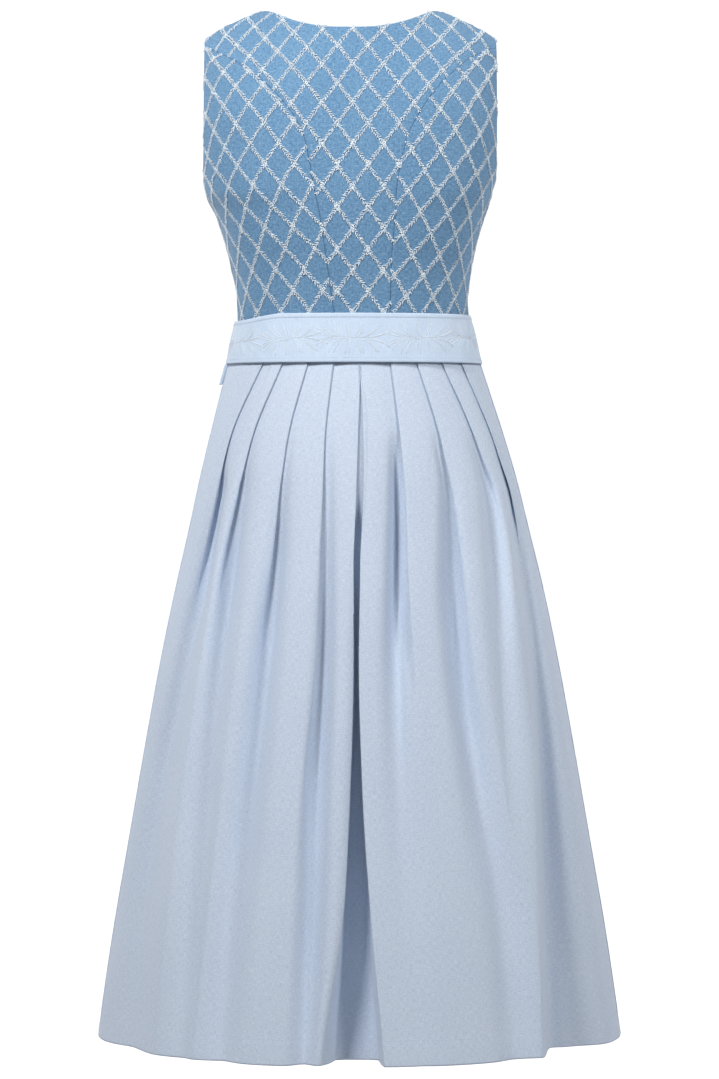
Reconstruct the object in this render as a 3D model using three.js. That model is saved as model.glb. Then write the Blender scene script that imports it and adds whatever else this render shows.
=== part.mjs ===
// A sleeveless dirndl: a princess-seamed bodice, a pleated midi skirt and an apron whose wide
// tie crosses the back of the waist and ends in a bow at the wearer's left front.
//
// Millimetres, +Z up. The wearer's back faces -Y, the front +Y and the right side +X.
// The origin lies between the two straps, at the height of their inner faces.
// A drop is a distance down from the neck points, the highest points of the shoulder seams.
// An angle goes round the body from 0 at the centre back, through 90 at the wearer's right side
// and -90 at the left side, to 180 at the centre front.

import * as THREE from 'three';

const NECK_POINT_Z = 18;
const WALL = { bodice: 1.6, skirt: 1.4, band: 1.8, apron: 1.2, bow: 1.4 };
const SEAM = 0.2; // each piece stops this far short of a seam, so two pieces are 0.4 apart

// Drops of the horizontal landmarks
const WAIST_SEAM = 370;
const BAND_TOP = 341;
const BAND_BOTTOM = 395;
const HEM = 1147;
const APRON_HEM = 1092;
const UNDERARM = 206;

// Shoulders, necklines and armholes
const NECK_HALF = 94;
const SHOULDER_HALF = 163;
const SHOULDER_DROP = 33;
const SHOULDER_SLOPE = SHOULDER_DROP / (SHOULDER_HALF - NECK_HALF);
const SHOULDER_RISE = 3.2; // how far the middle of a shoulder seam bows up
const STRAP_BASE = 45; // the back princess seams start here, on the armholes
const BACK_NECK = { drop: 26, power: 2.4 };
const FRONT_NECK = { drop: 150, power: 3.2 };
const BACK_ARMHOLE_TURN = 185; // below this the back armhole curves round to the side seam
const FRONT_ARMHOLE = { turn: 165, half: 150, hollow: 14 };
const ROLL = { back: 120, front: 110 }; // how far below its ridge a shoulder takes to round over

// The body of the garment, as horizontal sections of a general figure and a flared skirt.
// half: half of the width. back, front: depths behind and before the side seams.
// power: 2 is an ellipse, more is squarer. lean: how far the section stands towards +X.
const BODY = [
  { drop: 0, half: 168, back: 66, front: 60, power: 2.5, lean: 0 },
  { drop: 60, half: 168, back: 88, front: 82, power: 2.5, lean: 0 },
  { drop: 120, half: 168, back: 105, front: 108, power: 2.5, lean: 0 },
  { drop: 165, half: 166.5, back: 112, front: 126, power: 2.4, lean: -0.5 },
  { drop: 206, half: 159.5, back: 114, front: 136, power: 2.4, lean: -1.5 },
  { drop: 231, half: 149.5, back: 113, front: 138, power: 2.3, lean: 0 },
  { drop: 260, half: 140.5, back: 110, front: 134, power: 2.3, lean: 0.5 },
  { drop: 286, half: 134.5, back: 106, front: 125, power: 2.2, lean: 1 },
  { drop: 311, half: 130, back: 102, front: 115, power: 2.2, lean: 2 },
  { drop: 342, half: 128.5, back: 99, front: 107, power: 2.15, lean: 3 },
  { drop: 371, half: 128.5, back: 98, front: 105, power: 2.1, lean: 3.4 },
];
const SKIRT = [
  { drop: 370, half: 134, back: 102, front: 106, power: 2.1, lean: 3.4 },
  { drop: 395, half: 141, back: 108, front: 111, power: 2.1, lean: 4 },
  { drop: 430, half: 151, back: 117, front: 119, power: 2.05, lean: 5.5 },
  { drop: 470, half: 162.5, back: 127, front: 128, power: 2, lean: 7 },
  { drop: 520, half: 176, back: 138, front: 139, power: 2, lean: 8.5 },
  { drop: 580, half: 190, back: 149, front: 150, power: 2, lean: 9.5 },
  { drop: 650, half: 206.5, back: 162, front: 163, power: 2, lean: 10 },
  { drop: 730, half: 223, back: 175, front: 176, power: 2, lean: 10 },
  { drop: 820, half: 239.5, back: 188, front: 189, power: 2, lean: 10 },
  { drop: 920, half: 257, back: 202, front: 203, power: 2, lean: 10 },
  { drop: 1030, half: 276, back: 217, front: 218, power: 2, lean: 10 },
  { drop: 1147, half: 293.5, back: 232, front: 232, power: 2, lean: 10 },
];
const BAND = [
  { drop: BAND_TOP, half: 131.5, back: 102, front: 110, power: 2.15, lean: 3 },
  { drop: BAND_BOTTOM, half: 144, back: 111, front: 114, power: 2.1, lean: 4 },
];

// Princess seams: distance of each seam from the centre line
const BACK_SEAMS = [
  { drop: 45, left: 157, right: 157 },
  { drop: 58, left: 134, right: 133 },
  { drop: 72, left: 113, right: 117 },
  { drop: 91, left: 91, right: 98 },
  { drop: 123, left: 64, right: 76 },
  { drop: 147, left: 51, right: 64 },
  { drop: 175, left: 44, right: 57 },
  { drop: 200, left: 39, right: 53 },
  { drop: 231, left: 34, right: 50 },
  { drop: 275, left: 28, right: 45 },
  { drop: 342, left: 21, right: 41 },
  { drop: 371, left: 19, right: 40 },
];
const FRONT_SEAMS = [
  { drop: 165, out: 145 },
  { drop: 185, out: 122 },
  { drop: 206, out: 101 },
  { drop: 235, out: 87 },
  { drop: 275, out: 74 },
  { drop: 310, out: 65 },
  { drop: 342, out: 60 },
  { drop: 371, out: 58 },
];

// Knife pleats of the skirt's back: the distance of each fold's edge from the centre line of the
// section at each of PLEAT_DROPS. All lie on top on the side away from the centre.
// step: how far the edge stands over the panel beside it, at the waist and at the hem.
// ends: the drop at which the step has faded to its hem value.
const PLEAT_DROPS = [395, 470, 540, 620, 720, 850, 1000, 1147];
const BACK_PLEATS = [
  { at: [-100, -139, -160, -180, -197, -221, -242, -257], step: [5, 0.6], ends: 620 },
  { at: [-78, -113, -133, -147, -158, -172, -186, -198], step: [5, 0.6], ends: 600 },
  { at: [-50, -75, -87, -96, -107, -121, -138, -152], step: [5, 0.6], ends: 600 },
  { at: [-22, -34, -39, -43, -46, -55, -61, -69], step: [5, 4], ends: 1147 },
  { at: [40, 47, 51, 52, 54, 60, 68, 75], step: [5, 0.6], ends: 580 },
  { at: [69, 90, 104, 112, 116, 124, 136, 146], step: [5, 0.6], ends: 620 },
  { at: [97, 128, 150, 158, 163, 170, 180, 190], step: [5, 0.6], ends: 580 },
  { at: [119, 149, 170, 180, 189, 200, 206, 214], step: [5, 0.6], ends: 620 },
];
// The same for the skirt's front, one side of it; the other side mirrors it
const FRONT_PLEATS = [
  { at: [22, 33, 39, 44, 50, 57, 66, 74], step: [5, 0.6], ends: 620 },
  { at: [50, 74, 87, 97, 108, 122, 138, 152], step: [5, 0.6], ends: 600 },
  { at: [78, 112, 130, 145, 158, 174, 190, 202], step: [5, 0.6], ends: 600 },
  { at: [102, 136, 156, 172, 188, 206, 226, 242], step: [5, 0.6], ends: 620 },
  { at: [122, 152, 171, 189, 208, 230, 253, 272], step: [5, 0.6], ends: 600 },
];
// The inverted pleat of the centre back: middle and half width of its slit, and its depth
const CENTRE_PLEAT = [
  { drop: 370, middle: 6, half: 0.9, deep: 6 },
  { drop: 395, middle: 6, half: 1, deep: 8 },
  { drop: 470, middle: 4.5, half: 2.6, deep: 16 },
  { drop: 540, middle: 1.6, half: 2.6, deep: 26 },
  { drop: 620, middle: -2.7, half: 2.4, deep: 38 },
  { drop: 720, middle: -3.3, half: 2.4, deep: 46 },
  { drop: 850, middle: -3.4, half: 6, deep: 52 },
  { drop: 1000, middle: -2.4, half: 15, deep: 54 },
  { drop: 1147, middle: -3, half: 33, deep: 50 },
];
// Soft troughs that the pleats run out into, at each of TROUGH_DROPS.
// at: distance of the trough's middle from the centre line. deep: its depth. wide: its half width.
const TROUGH_DROPS = [470, 540, 620, 720, 850, 1000, 1147];
const TROUGH_WIDTH = [7, 9, 12, 15, 18, 21, 24];
const BACK_TROUGHS = [
  { at: [-142, -158, -177, -193, -217, -238, -252], deep: [0, 6, 14, 20, 25, 24, 22] },
  { at: [-113, -131, -144, -154, -168, -182, -194], deep: [0, 4, 7, 5, 2, 1, 0] },
  { at: [-72, -85, -94, -104, -118, -135, -150], deep: [0, 3, 6, 6, 5, 3, 2] },
  { at: [-30, -33, -36, -39, -46, -52, -58], deep: [0, 2, 4, 6, 7, 7, 5], narrow: 0.67 },
  { at: [43, 46, 44, 41, 42, 50, 60], deep: [0, 4, 6, 4, 2, 1, 0], narrow: 0.9 },
  { at: [86, 99, 99, 107, 127, 154, 168], deep: [0, 5, 9, 11, 11, 10, 9] },
  { at: [124, 146, 153, 160, 170, 180, 190], deep: [0, 4, 5, 3, 1, 0, 0], narrow: 0.9 },
  { at: [146, 174, 187, 198, 211, 218, 229], deep: [0, 6, 15, 24, 33, 38, 40], narrow: 0.9 },
];
const FRONT_TROUGHS = [
  { at: [30, 36, 40, 46, 54, 63, 70], deep: [0, 3, 6, 7, 7, 7, 6] },
  { at: [109, 127, 141, 154, 170, 186, 198], deep: [0, 4, 8, 10, 12, 12, 11], narrow: 1.12 },
  { at: [149, 168, 186, 204, 226, 248, 264], deep: [0, 4, 8, 12, 16, 18, 18], narrow: 1.08 },
];

// The apron: how far round it reaches from the centre front, in degrees, its gathers and deeper
// folds in a half turn, and how far its inner face stands off the skirt
const APRON = { left: 80, right: 76, gathers: 24, folds: 9, clear: 3.4 };
const GATHER_HEIGHT = 2.4;
const FOLD_HEIGHT = 9;
const LOW_SPREAD = 34; // how far below the band the apron takes to stand clear of the skirt

const COLOURS = {
  bodice: { color: 0x6d93b8, roughness: 0.85 },
  skirt: { color: 0xb9cbe4, roughness: 0.9 },
  apron: { color: 0xc4d8ef, roughness: 0.7 },
};

const rad = THREE.MathUtils.degToRad;
const deg = THREE.MathUtils.radToDeg;
const { lerp, clamp, smoothstep } = THREE.MathUtils;

// A smooth curve through values at rising stations that never overshoots them
function smooth(stations, values, at) {
  const last = stations.length - 1;
  const t = clamp(at, stations[0], stations[last]);
  let i = 0;
  while (i < last - 1 && t > stations[i + 1]) i += 1;
  const rise = (k) => (values[k + 1] - values[k]) / (stations[k + 1] - stations[k]);
  const slope = (k) => {
    if (k === 0) return rise(0);
    if (k === last) return rise(last - 1);
    const before = rise(k - 1);
    const after = rise(k);
    return before * after <= 0 ? 0 : (2 * before * after) / (before + after);
  };
  const width = stations[i + 1] - stations[i];
  const s = (t - stations[i]) / width;
  const s2 = s * s;
  const s3 = s2 * s;
  return (
    (2 * s3 - 3 * s2 + 1) * values[i] +
    (s3 - 2 * s2 + s) * width * slope(i) +
    (3 * s2 - 2 * s3) * values[i + 1] +
    (s3 - s2) * width * slope(i + 1)
  );
}

// One column of a table whose rows each have a drop
function column(table, name, drop) {
  return smooth(table.map((row) => row.drop), table.map((row) => row[name]), drop);
}

function sectionAt(table, drop) {
  const part = {};
  for (const name of ['half', 'back', 'front', 'power', 'lean']) part[name] = column(table, name, drop);
  return part;
}

// The angle at which a section lies at this distance from its centre line, on the back or front
function angleAt(part, out, front = false) {
  const reach = clamp(Math.abs(out) / part.half, 0, 1);
  const angle = deg(Math.asin(reach ** (part.power / 2))) * Math.sign(out || 1);
  return front ? 180 * Math.sign(out || 1) - angle : angle;
}

// The ridge of the shoulders, where back and front meet
function ridge(x) {
  const past = Math.abs(x) - NECK_HALF;
  const share = clamp(past / (SHOULDER_HALF - NECK_HALF), 0, 1);
  return past * SHOULDER_SLOPE - SHOULDER_RISE * 4 * share * (1 - share);
}

// A point of the body: the section at this drop, rounded over towards the ridge if asked
function onSection(table, angle, drop, rounded = false) {
  const part = sectionAt(table, drop);
  const across = Math.sin(rad(angle));
  const along = Math.cos(rad(angle));
  const x = part.half * Math.sign(across) * Math.abs(across) ** (2 / part.power);
  const behind = along >= 0;
  let depth = behind ? part.back : part.front;
  if (rounded) {
    const below = clamp((drop - ridge(x)) / (behind ? ROLL.back : ROLL.front), 0, 1);
    depth *= Math.sqrt(1 - (1 - below) ** 2);
  }
  const y = -depth * Math.sign(along) * Math.abs(along) ** (2 / part.power);
  return new THREE.Vector3(x + part.lean, y, NECK_POINT_Z - drop);
}

// The outward direction of a body section, level
function outward(table, angle, drop) {
  const before = onSection(table, angle - 1.5, drop);
  const after = onSection(table, angle + 1.5, drop);
  return new THREE.Vector3(after.y - before.y, before.x - after.x, 0).normalize();
}

// A point of the body moved outward by a distance and sideways along the section by another
function beside(table, angle, drop, out, along = 0) {
  const away = outward(table, angle, drop);
  const round = new THREE.Vector3(-away.y, away.x, 0);
  return onSection(table, angle, drop).addScaledVector(away, out).addScaledVector(round, along);
}

// Corner normals of a grid of outer points, rows from the bottom up and columns with rising angle
function gridNormals(grid) {
  const rows = grid.length;
  const cols = grid[0].length;
  return grid.map((row, r) =>
    row.map((point, c) => {
      const along = grid[r][Math.min(c + 1, cols - 1)].clone().sub(grid[r][Math.max(c - 1, 0)]);
      const up = grid[Math.min(r + 1, rows - 1)][c].clone().sub(grid[Math.max(r - 1, 0)][c]);
      return along.cross(up).normalize();
    }),
  );
}

// Makes the normals at both side edges level and square to the seam plane
function levelEdges(normals) {
  for (const row of normals) {
    for (const c of [0, row.length - 1]) row[c].set(row[c].x, 0, row[c].z).normalize();
  }
  return normals;
}

// A closed wall between a grid of outer points and the same grid moved inward
function wall(grid, thickness, normals = gridNormals(grid)) {
  const rows = grid.length;
  const cols = grid[0].length;
  const outer = grid.flat();
  const inner = outer.map((point, i) => point.clone().addScaledVector(normals.flat()[i], -thickness));
  const count = outer.length;
  const index = [];
  const at = (r, c) => r * cols + c;
  const quad = (a, b, c, d) => index.push(a, b, c, a, c, d);
  for (let r = 0; r < rows - 1; r += 1) {
    for (let c = 0; c < cols - 1; c += 1) {
      quad(at(r, c), at(r, c + 1), at(r + 1, c + 1), at(r + 1, c));
      quad(count + at(r, c), count + at(r + 1, c), count + at(r + 1, c + 1), count + at(r, c + 1));
    }
  }
  for (let c = 0; c < cols - 1; c += 1) {
    quad(at(0, c), count + at(0, c), count + at(0, c + 1), at(0, c + 1));
    const top = rows - 1;
    quad(at(top, c), at(top, c + 1), count + at(top, c + 1), count + at(top, c));
  }
  for (let r = 0; r < rows - 1; r += 1) {
    quad(at(r, 0), at(r + 1, 0), count + at(r + 1, 0), count + at(r, 0));
    const end = cols - 1;
    quad(at(r, end), count + at(r, end), count + at(r + 1, end), at(r + 1, end));
  }
  const geometry = new THREE.BufferGeometry();
  const corners = [...outer, ...inner].flatMap((point) => point.toArray());
  geometry.setAttribute('position', new THREE.Float32BufferAttribute(corners, 3));
  geometry.setIndex(index);
  geometry.computeVertexNormals();
  return geometry;
}

const steps = (count) => Array.from({ length: count + 1 }, (_, i) => i / count);

const garment = new THREE.Group();
garment.name = 'dirndl';

function add(name, geometry, cloth) {
  const material = new THREE.MeshStandardMaterial({ ...COLOURS[cloth], metalness: 0 });
  const mesh = new THREE.Mesh(geometry, material);
  mesh.name = name;
  garment.add(mesh);
}

// Bodice
// Each panel is a grid of angle and drop on the rounded body, so neighbours share their seams.

const FRONT_ROWS = [WAIST_SEAM, 342, 308, 275, 250, 231, 216, 206, 202, 195, 185, 165];
const BACK_ROWS = [...FRONT_ROWS, 147, 123, 104, 91, 72, 58, STRAP_BASE];

const bodicePoint = (angle, drop) => onSection(BODY, angle, drop, true);

function bodiceNormal(angle, drop) {
  const round = bodicePoint(angle + 1, drop).sub(bodicePoint(angle - 1, drop));
  const up = bodicePoint(angle, drop - 1.5).sub(bodicePoint(angle, drop + 1.5));
  return round.cross(up).normalize();
}

// rows holds, from the bottom up, lists of { angle, drop } with rising angle. An edge on a side
// or shoulder seam stops short of it, and its end face is square to the front.
function bodicePanel(name, rows) {
  const points = rows.map((row) => row.map(({ angle, drop }) => bodicePoint(angle, drop)));
  const normals = rows.map((row) => row.map(({ angle, drop }) => bodiceNormal(angle, drop)));
  const behind = rows[0][0].angle > -91 && rows[0].at(-1).angle < 91;
  points.flat().forEach((point, i) => {
    if (Math.abs(point.y) > SEAM) return;
    point.y = behind ? -SEAM : SEAM;
    normals.flat()[i].setY(0).normalize();
  });
  add(name, wall(points, WALL.bodice, normals), 'bodice');
}

const place = (out, drop, front) => ({ angle: angleAt(sectionAt(BODY, drop), out, front), drop });

// A row between two distances from the centre line
const rowAcross = (from, to, drop, parts, front = false) =>
  steps(parts).map((s) => place(lerp(from, to, s), drop, front));

// A row between two angles
const rowRound = (from, to, drop, parts) => steps(parts).map((s) => ({ angle: lerp(from, to, s), drop }));

const quarter = (s) => Math.sqrt(Math.max(0, 1 - (1 - s) ** 2));

// The angle of the armhole's edge or, below it, of the side seam, on the right side
function backArmhole(drop) {
  if (drop >= UNDERARM) return 90;
  const edge = angleAt(sectionAt(BODY, drop), SHOULDER_HALF);
  return lerp(90, edge, quarter(clamp((UNDERARM - drop) / (UNDERARM - BACK_ARMHOLE_TURN), 0, 1)));
}

function frontArmhole(drop) {
  if (drop >= UNDERARM) return 90;
  const edge = angleAt(sectionAt(BODY, drop), FRONT_ARMHOLE.half, true);
  return lerp(90, edge, quarter(clamp((UNDERARM - drop) / (UNDERARM - FRONT_ARMHOLE.turn), 0, 1)));
}

function backCentre() {
  const parts = 16;
  const rows = BACK_ROWS.map((drop) => {
    const left = SEAM - column(BACK_SEAMS, 'left', drop);
    const right = column(BACK_SEAMS, 'right', drop) - SEAM;
    return rowAcross(left, right, drop, parts);
  });
  const half = SHOULDER_HALF - SEAM;
  const stand = (x) => {
    const reach = Math.abs(x) / NECK_HALF;
    return reach < 1 ? BACK_NECK.drop * (1 - reach ** BACK_NECK.power) : ridge(x);
  };
  for (const rise of [0.1, 0.4, 0.68, 0.88, 0.97, 1]) {
    rows.push(
      steps(parts).map((s) => {
        const x = lerp(-half, half, s);
        return place(x, lerp(STRAP_BASE, stand(x), rise));
      }),
    );
  }
  bodicePanel('bodice_back_centre', rows);
}

function sideBack(name, side) {
  const rows = BACK_ROWS.map((drop) => {
    const part = sectionAt(BODY, drop);
    const seam = angleAt(part, column(BACK_SEAMS, side > 0 ? 'right' : 'left', drop) + SEAM);
    const edge = backArmhole(drop);
    return side > 0 ? rowRound(seam, edge, drop, 7) : rowRound(-edge, -seam, drop, 7);
  });
  bodicePanel(name, rows);
}

function sideFront(name, side) {
  const rows = FRONT_ROWS.map((drop) => {
    const part = sectionAt(BODY, drop);
    const seam = angleAt(part, column(FRONT_SEAMS, 'out', drop) + SEAM, true);
    const edge = frontArmhole(drop);
    return side > 0 ? rowRound(edge, seam, drop, 6) : rowRound(-seam, -edge, drop, 6);
  });
  bodicePanel(name, rows);
}

function frontPanel(name, side) {
  const parts = 10;
  const order = (row) => (side > 0 ? row.reverse() : row);
  const mirrored = (out, drop) => place(side * out, drop, true);
  const rows = FRONT_ROWS.map((drop) => {
    const seam = column(FRONT_SEAMS, 'out', drop) - SEAM;
    return order(steps(parts).map((s) => mirrored(lerp(SEAM, seam, s), drop)));
  });
  const neckPart = 0.6; // the share of the columns that ends on the neckline
  const topOf = (s) => {
    const out = s < neckPart ? lerp(SEAM, NECK_HALF, s / neckPart)
      : lerp(NECK_HALF, SHOULDER_HALF - SEAM, (s - neckPart) / (1 - neckPart));
    const drop = s < neckPart ? FRONT_NECK.drop * (1 - (out / NECK_HALF) ** FRONT_NECK.power)
      : ridge(out);
    return { out, drop };
  };
  for (const rise of [0.08, 0.32, 0.56, 0.76, 0.9, 0.975, 1]) {
    rows.push(
      order(
        steps(parts).map((s) => {
          const base = lerp(SEAM, FRONT_ARMHOLE.half, s);
          const top = topOf(s);
          const hollow = FRONT_ARMHOLE.hollow * 4 * rise * (1 - rise) * s ** 3;
          return mirrored(lerp(base, top.out, rise) - hollow, lerp(FRONT_ARMHOLE.turn, top.drop, rise));
        }),
      ),
    );
  }
  bodicePanel(name, rows);
}

backCentre();
sideBack('bodice_side_back_left', -1);
sideBack('bodice_side_back_right', 1);
sideFront('bodice_side_front_left', -1);
sideFront('bodice_side_front_right', 1);
frontPanel('bodice_front_left', -1);
frontPanel('bodice_front_right', 1);

// Skirt
// A ring's points follow the folds: under an edge the cloth turns back below the panel on top.

const SKIRT_TOP_ROWS = [470, 430, BAND_BOTTOM + 1, WAIST_SEAM + 0.5];
const BACK_SKIRT_ROWS = [HEM, 1080, 1000, 925, 850, 785, 720, 670, 620, 575, 540, 505, ...SKIRT_TOP_ROWS];
const FRONT_SKIRT_ROWS = [HEM, 1045, 940, 830, 720, 640, 575, 520, ...SKIRT_TOP_ROWS];
const UNDERCUT = 3; // how far a fold's inner turn lies below the panel on top
const FOLDS_OPEN = 470; // the drop from which the folds begin to open

// A fold's distance from the centre line, step and undercut at a drop
function foldAt(fold, drop) {
  const waist = lerp(0.95, 1, smoothstep(drop, WAIST_SEAM, BAND_BOTTOM));
  const out = smooth(PLEAT_DROPS, fold.at, drop) * waist;
  const fading = smoothstep(drop, FOLDS_OPEN, fold.ends);
  return { out, step: lerp(fold.step[0], fold.step[1], fading), under: lerp(UNDERCUT, 0.4, fading) };
}

// The depth of the soft troughs at a distance from the centre line
function troughDepth(troughs, out, drop) {
  let deep = 0;
  for (const trough of troughs) {
    const middle = smooth(TROUGH_DROPS, trough.at, drop);
    const wide = smooth(TROUGH_DROPS, TROUGH_WIDTH, drop) * (trough.narrow ?? 1);
    const here = smooth(TROUGH_DROPS, trough.deep, drop);
    deep = Math.max(deep, here * Math.exp(-(((out - middle) / wide) ** 2)));
  }
  return deep;
}

// The points of half a section from its middle outwards: distance along the section, and depth
function halfRing(folds, drop, start, half) {
  const points = [];
  let inner = start;
  let low = 0;
  for (const fold of folds) {
    const { out, step, under } = foldAt(fold, drop);
    const gap = out - inner;
    points.push({ out: inner + gap * 0.35, deep: low * 0.5 }, { out: inner + gap * 0.75, deep: step * 0.75 });
    points.push({ out: out + under, deep: step, fixed: out }, { out, deep: 0 });
    inner = out;
    low = step * 0.3;
  }
  for (const s of [0.3, 0.6, 0.85]) points.push({ out: lerp(inner, half, s), deep: 0 });
  return points;
}

function skirtBack(drop) {
  const part = sectionAt(SKIRT, drop);
  const slit = {};
  for (const name of ['middle', 'half', 'deep']) slit[name] = column(CENTRE_PLEAT, name, drop);
  const points = [];
  const put = (out, deep, along = 0) => points.push(beside(SKIRT, angleAt(part, out), drop, -deep, along));
  const side = (folds, sign) => {
    const edge = sign * slit.middle + slit.half;
    const list = halfRing(folds, drop, edge, part.half);
    const trough = (out) => troughDepth(BACK_TROUGHS, sign * out, drop);
    return list.map(({ out, deep, fixed }) => {
      const at = fixed ?? out;
      return [sign * at, deep + trough(at), sign * (out - at)];
    });
  };
  const left = side(BACK_PLEATS.slice(0, 4).reverse().map((f) => ({ ...f, at: f.at.map((x) => -x) })), -1);
  const right = side(BACK_PLEATS.slice(4), 1);
  const seam = beside(SKIRT, -90, drop, 0);
  points.push(new THREE.Vector3(seam.x, -SEAM, seam.z));
  for (const [out, deep, along] of left.reverse()) put(out, deep, along);
  const bottom = slit.half * 0.85 + 1;
  put(slit.middle - slit.half, 0.3);
  put(slit.middle - bottom, slit.deep);
  put(slit.middle + bottom, slit.deep);
  put(slit.middle + slit.half, 0.3);
  for (const [out, deep, along] of right) put(out, deep, along);
  const end = beside(SKIRT, 90, drop, 0);
  points.push(new THREE.Vector3(end.x, -SEAM, end.z));
  return points;
}

function skirtFront(drop) {
  const part = sectionAt(SKIRT, drop);
  const points = [];
  const list = halfRing(FRONT_PLEATS, drop, 0, part.half);
  const put = (sign, { out, deep, fixed }) => {
    const at = fixed ?? out;
    const depth = deep + troughDepth(FRONT_TROUGHS, at, drop);
    points.push(beside(SKIRT, angleAt(part, sign * at, true), drop, -depth, -sign * (out - at)));
  };
  const start = beside(SKIRT, 90, drop, 0);
  points.push(new THREE.Vector3(start.x, SEAM, start.z));
  for (const point of [...list].reverse()) put(1, point);
  points.push(beside(SKIRT, 180, drop, 0));
  for (const point of list) put(-1, point);
  const end = beside(SKIRT, -90, drop, 0);
  points.push(new THREE.Vector3(end.x, SEAM, end.z));
  return points;
}

function skirtPiece(name, ring, rows) {
  const grid = rows.map((drop) => ring(drop));
  add(name, wall(grid, WALL.skirt, levelEdges(gridNormals(grid))), 'skirt');
}

skirtPiece('skirt_back', skirtBack, BACK_SKIRT_ROWS);
skirtPiece('skirt_front', skirtFront, FRONT_SKIRT_ROWS);

// Apron
// The band is two curved strips that meet at the side seams. It dips a little at the left side.

const BAND_DIP = 7;

function bandPiece(name, from, sideSeam) {
  const dropAt = (angle, share) => {
    const dip = BAND_DIP * smoothstep(-Math.sin(rad(angle)), 0.55, 1) * (1 - share);
    return lerp(BAND_TOP, BAND_BOTTOM, share) + dip;
  };
  const grid = [1, 0.5, 0].map((share) =>
    steps(22).map((s) => {
      const angle = from + 180 * s;
      const point = beside(BAND, angle, dropAt(angle, share), 0);
      if (s === 0 || s === 1) point.y = sideSeam;
      return point;
    }),
  );
  add(name, wall(grid, WALL.band, levelEdges(gridNormals(grid))), 'apron');
}

bandPiece('apron_tie_back', -90, -SEAM);
bandPiece('apron_band_front', 90, SEAM);

// How far the cloth below the band has come to stand off the skirt with its deeper folds
const hanging = (drop) => FOLD_HEIGHT * smoothstep(drop, 430, 900);

// How far the apron's outer face stands off the skirt's section
function apronOut(angle, drop) {
  const round = (angle - 180) / 90;
  const released = smoothstep(drop, BAND_BOTTOM, BAND_BOTTOM + LOW_SPREAD);
  const clear = lerp(APRON.clear - WALL.apron, APRON.clear + WALL.apron, released);
  const fine = 0.5 + 0.5 * Math.cos(Math.PI * APRON.gathers * round);
  const coarse = 0.5 + 0.5 * Math.cos(Math.PI * APRON.folds * round + 1.2 * Math.sin(5 * round));
  const begun = smoothstep(drop, BAND_BOTTOM, BAND_BOTTOM + 12);
  const gather = GATHER_HEIGHT * begun * (1 - 0.85 * smoothstep(drop, 470, 760));
  const flat = 1 - 0.85 * smoothstep(Math.abs(angle - 180), 50, APRON.right);
  return clear + gather * fine + hanging(drop) * coarse * flat;
}

const APRON_ROWS = [APRON_HEM, 975, 860, 750, 650, 570, 505, 455, 420, BAND_BOTTOM + 0.5];

function apronSkirt() {
  const parts = 62;
  const grid = APRON_ROWS.map((drop) =>
    steps(parts).map((s) => {
      const angle = 180 + lerp(-APRON.right, APRON.left, s);
      return beside(SKIRT, angle, drop, apronOut(angle, drop));
    }),
  );
  add('apron_skirt', wall(grid, WALL.apron), 'apron');
}

apronSkirt();

// Bow
// Loops and tails are strips that follow the band and the apron from the knot.

const KNOT = { angle: 222, reach: 5.4, drop: 369, half: 15, out: 24, seat: 0.35 };

// A surface that lies outside the band and the apron, for what hangs over them
function overApron(angle, drop, out) {
  if (drop < BAND_BOTTOM) return beside(BAND, angle, drop, out);
  const past = 4.4 + 3.6 * smoothstep(drop, BAND_BOTTOM, 440);
  return beside(SKIRT, angle, drop, past + hanging(drop) + out);
}

// path holds { angle, drop, out, half }, and the strip reaches half above and below each point
function loopPiece(name, path) {
  const grid = [1, 0, -1].map((edge) =>
    path.map(({ angle, drop, out, half }) => overApron(angle, drop + edge * half, out)),
  );
  add(name, wall(grid, WALL.bow), 'apron');
}

// A loop goes out from the knot along the body, turns at its tip and comes back on the outside
function loopPath(direction, length, sag) {
  const root = (KNOT.reach - 0.1) / length;
  const stations = [
    { s: root, out: 4.6, half: 12 },
    { s: 0.45, out: 4.6, half: 18 },
    { s: 0.8, out: 4.8, half: 17 },
    { s: 0.97, out: 5, half: 12 },
    { s: 1, out: 7.5, half: 11 },
    { s: 0.95, out: 10.5, half: 13 },
    { s: 0.75, out: 16, half: 18 },
    { s: 0.45, out: 18, half: 19 },
    { s: root, out: 15, half: 12 },
  ];
  const path = stations.map(({ s, out, half }) => ({
    angle: KNOT.angle + direction * length * s,
    drop: KNOT.drop + sag * s ** 1.5,
    out,
    half,
  }));
  return direction > 0 ? path.reverse() : path;
}

function tailPiece(name, lean, length, lift) {
  const rows = 9;
  const grid = steps(rows).map((t) => {
    const s = 1 - t;
    const drop = KNOT.drop + KNOT.half + 0.4 + s * length;
    const half = lerp(3.6, 8.4, smoothstep(s, 0, 0.25));
    return [-1, -0.33, 0.33, 1].map((edge) => {
      const angle = KNOT.angle + lean * (0.25 + s) + edge * half;
      const fold = 2.2 * Math.cos(Math.PI * edge * 1.5) * (1 - 0.5 * s);
      return overApron(angle, drop + (1 - edge) * 6 * smoothstep(s, 0.85, 1), lift + fold + 3);
    });
  });
  add(name, wall(grid, WALL.bow), 'apron');
}

function knot() {
  const grid = steps(6).map((t) => {
    const lift = lerp(-1, 1, t);
    return steps(8).map((s) => {
      const turn = lerp(-1, 1, s);
      const bulge = Math.sqrt(Math.max(0, 1 - turn ** 4)) * (1 - 0.25 * lift ** 2);
      const angle = KNOT.angle + turn * KNOT.reach;
      return overApron(angle, KNOT.drop - lift * KNOT.half, KNOT.seat + KNOT.out * bulge);
    });
  });
  add('apron_knot', wall(grid, WALL.bow), 'apron');
}

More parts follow.
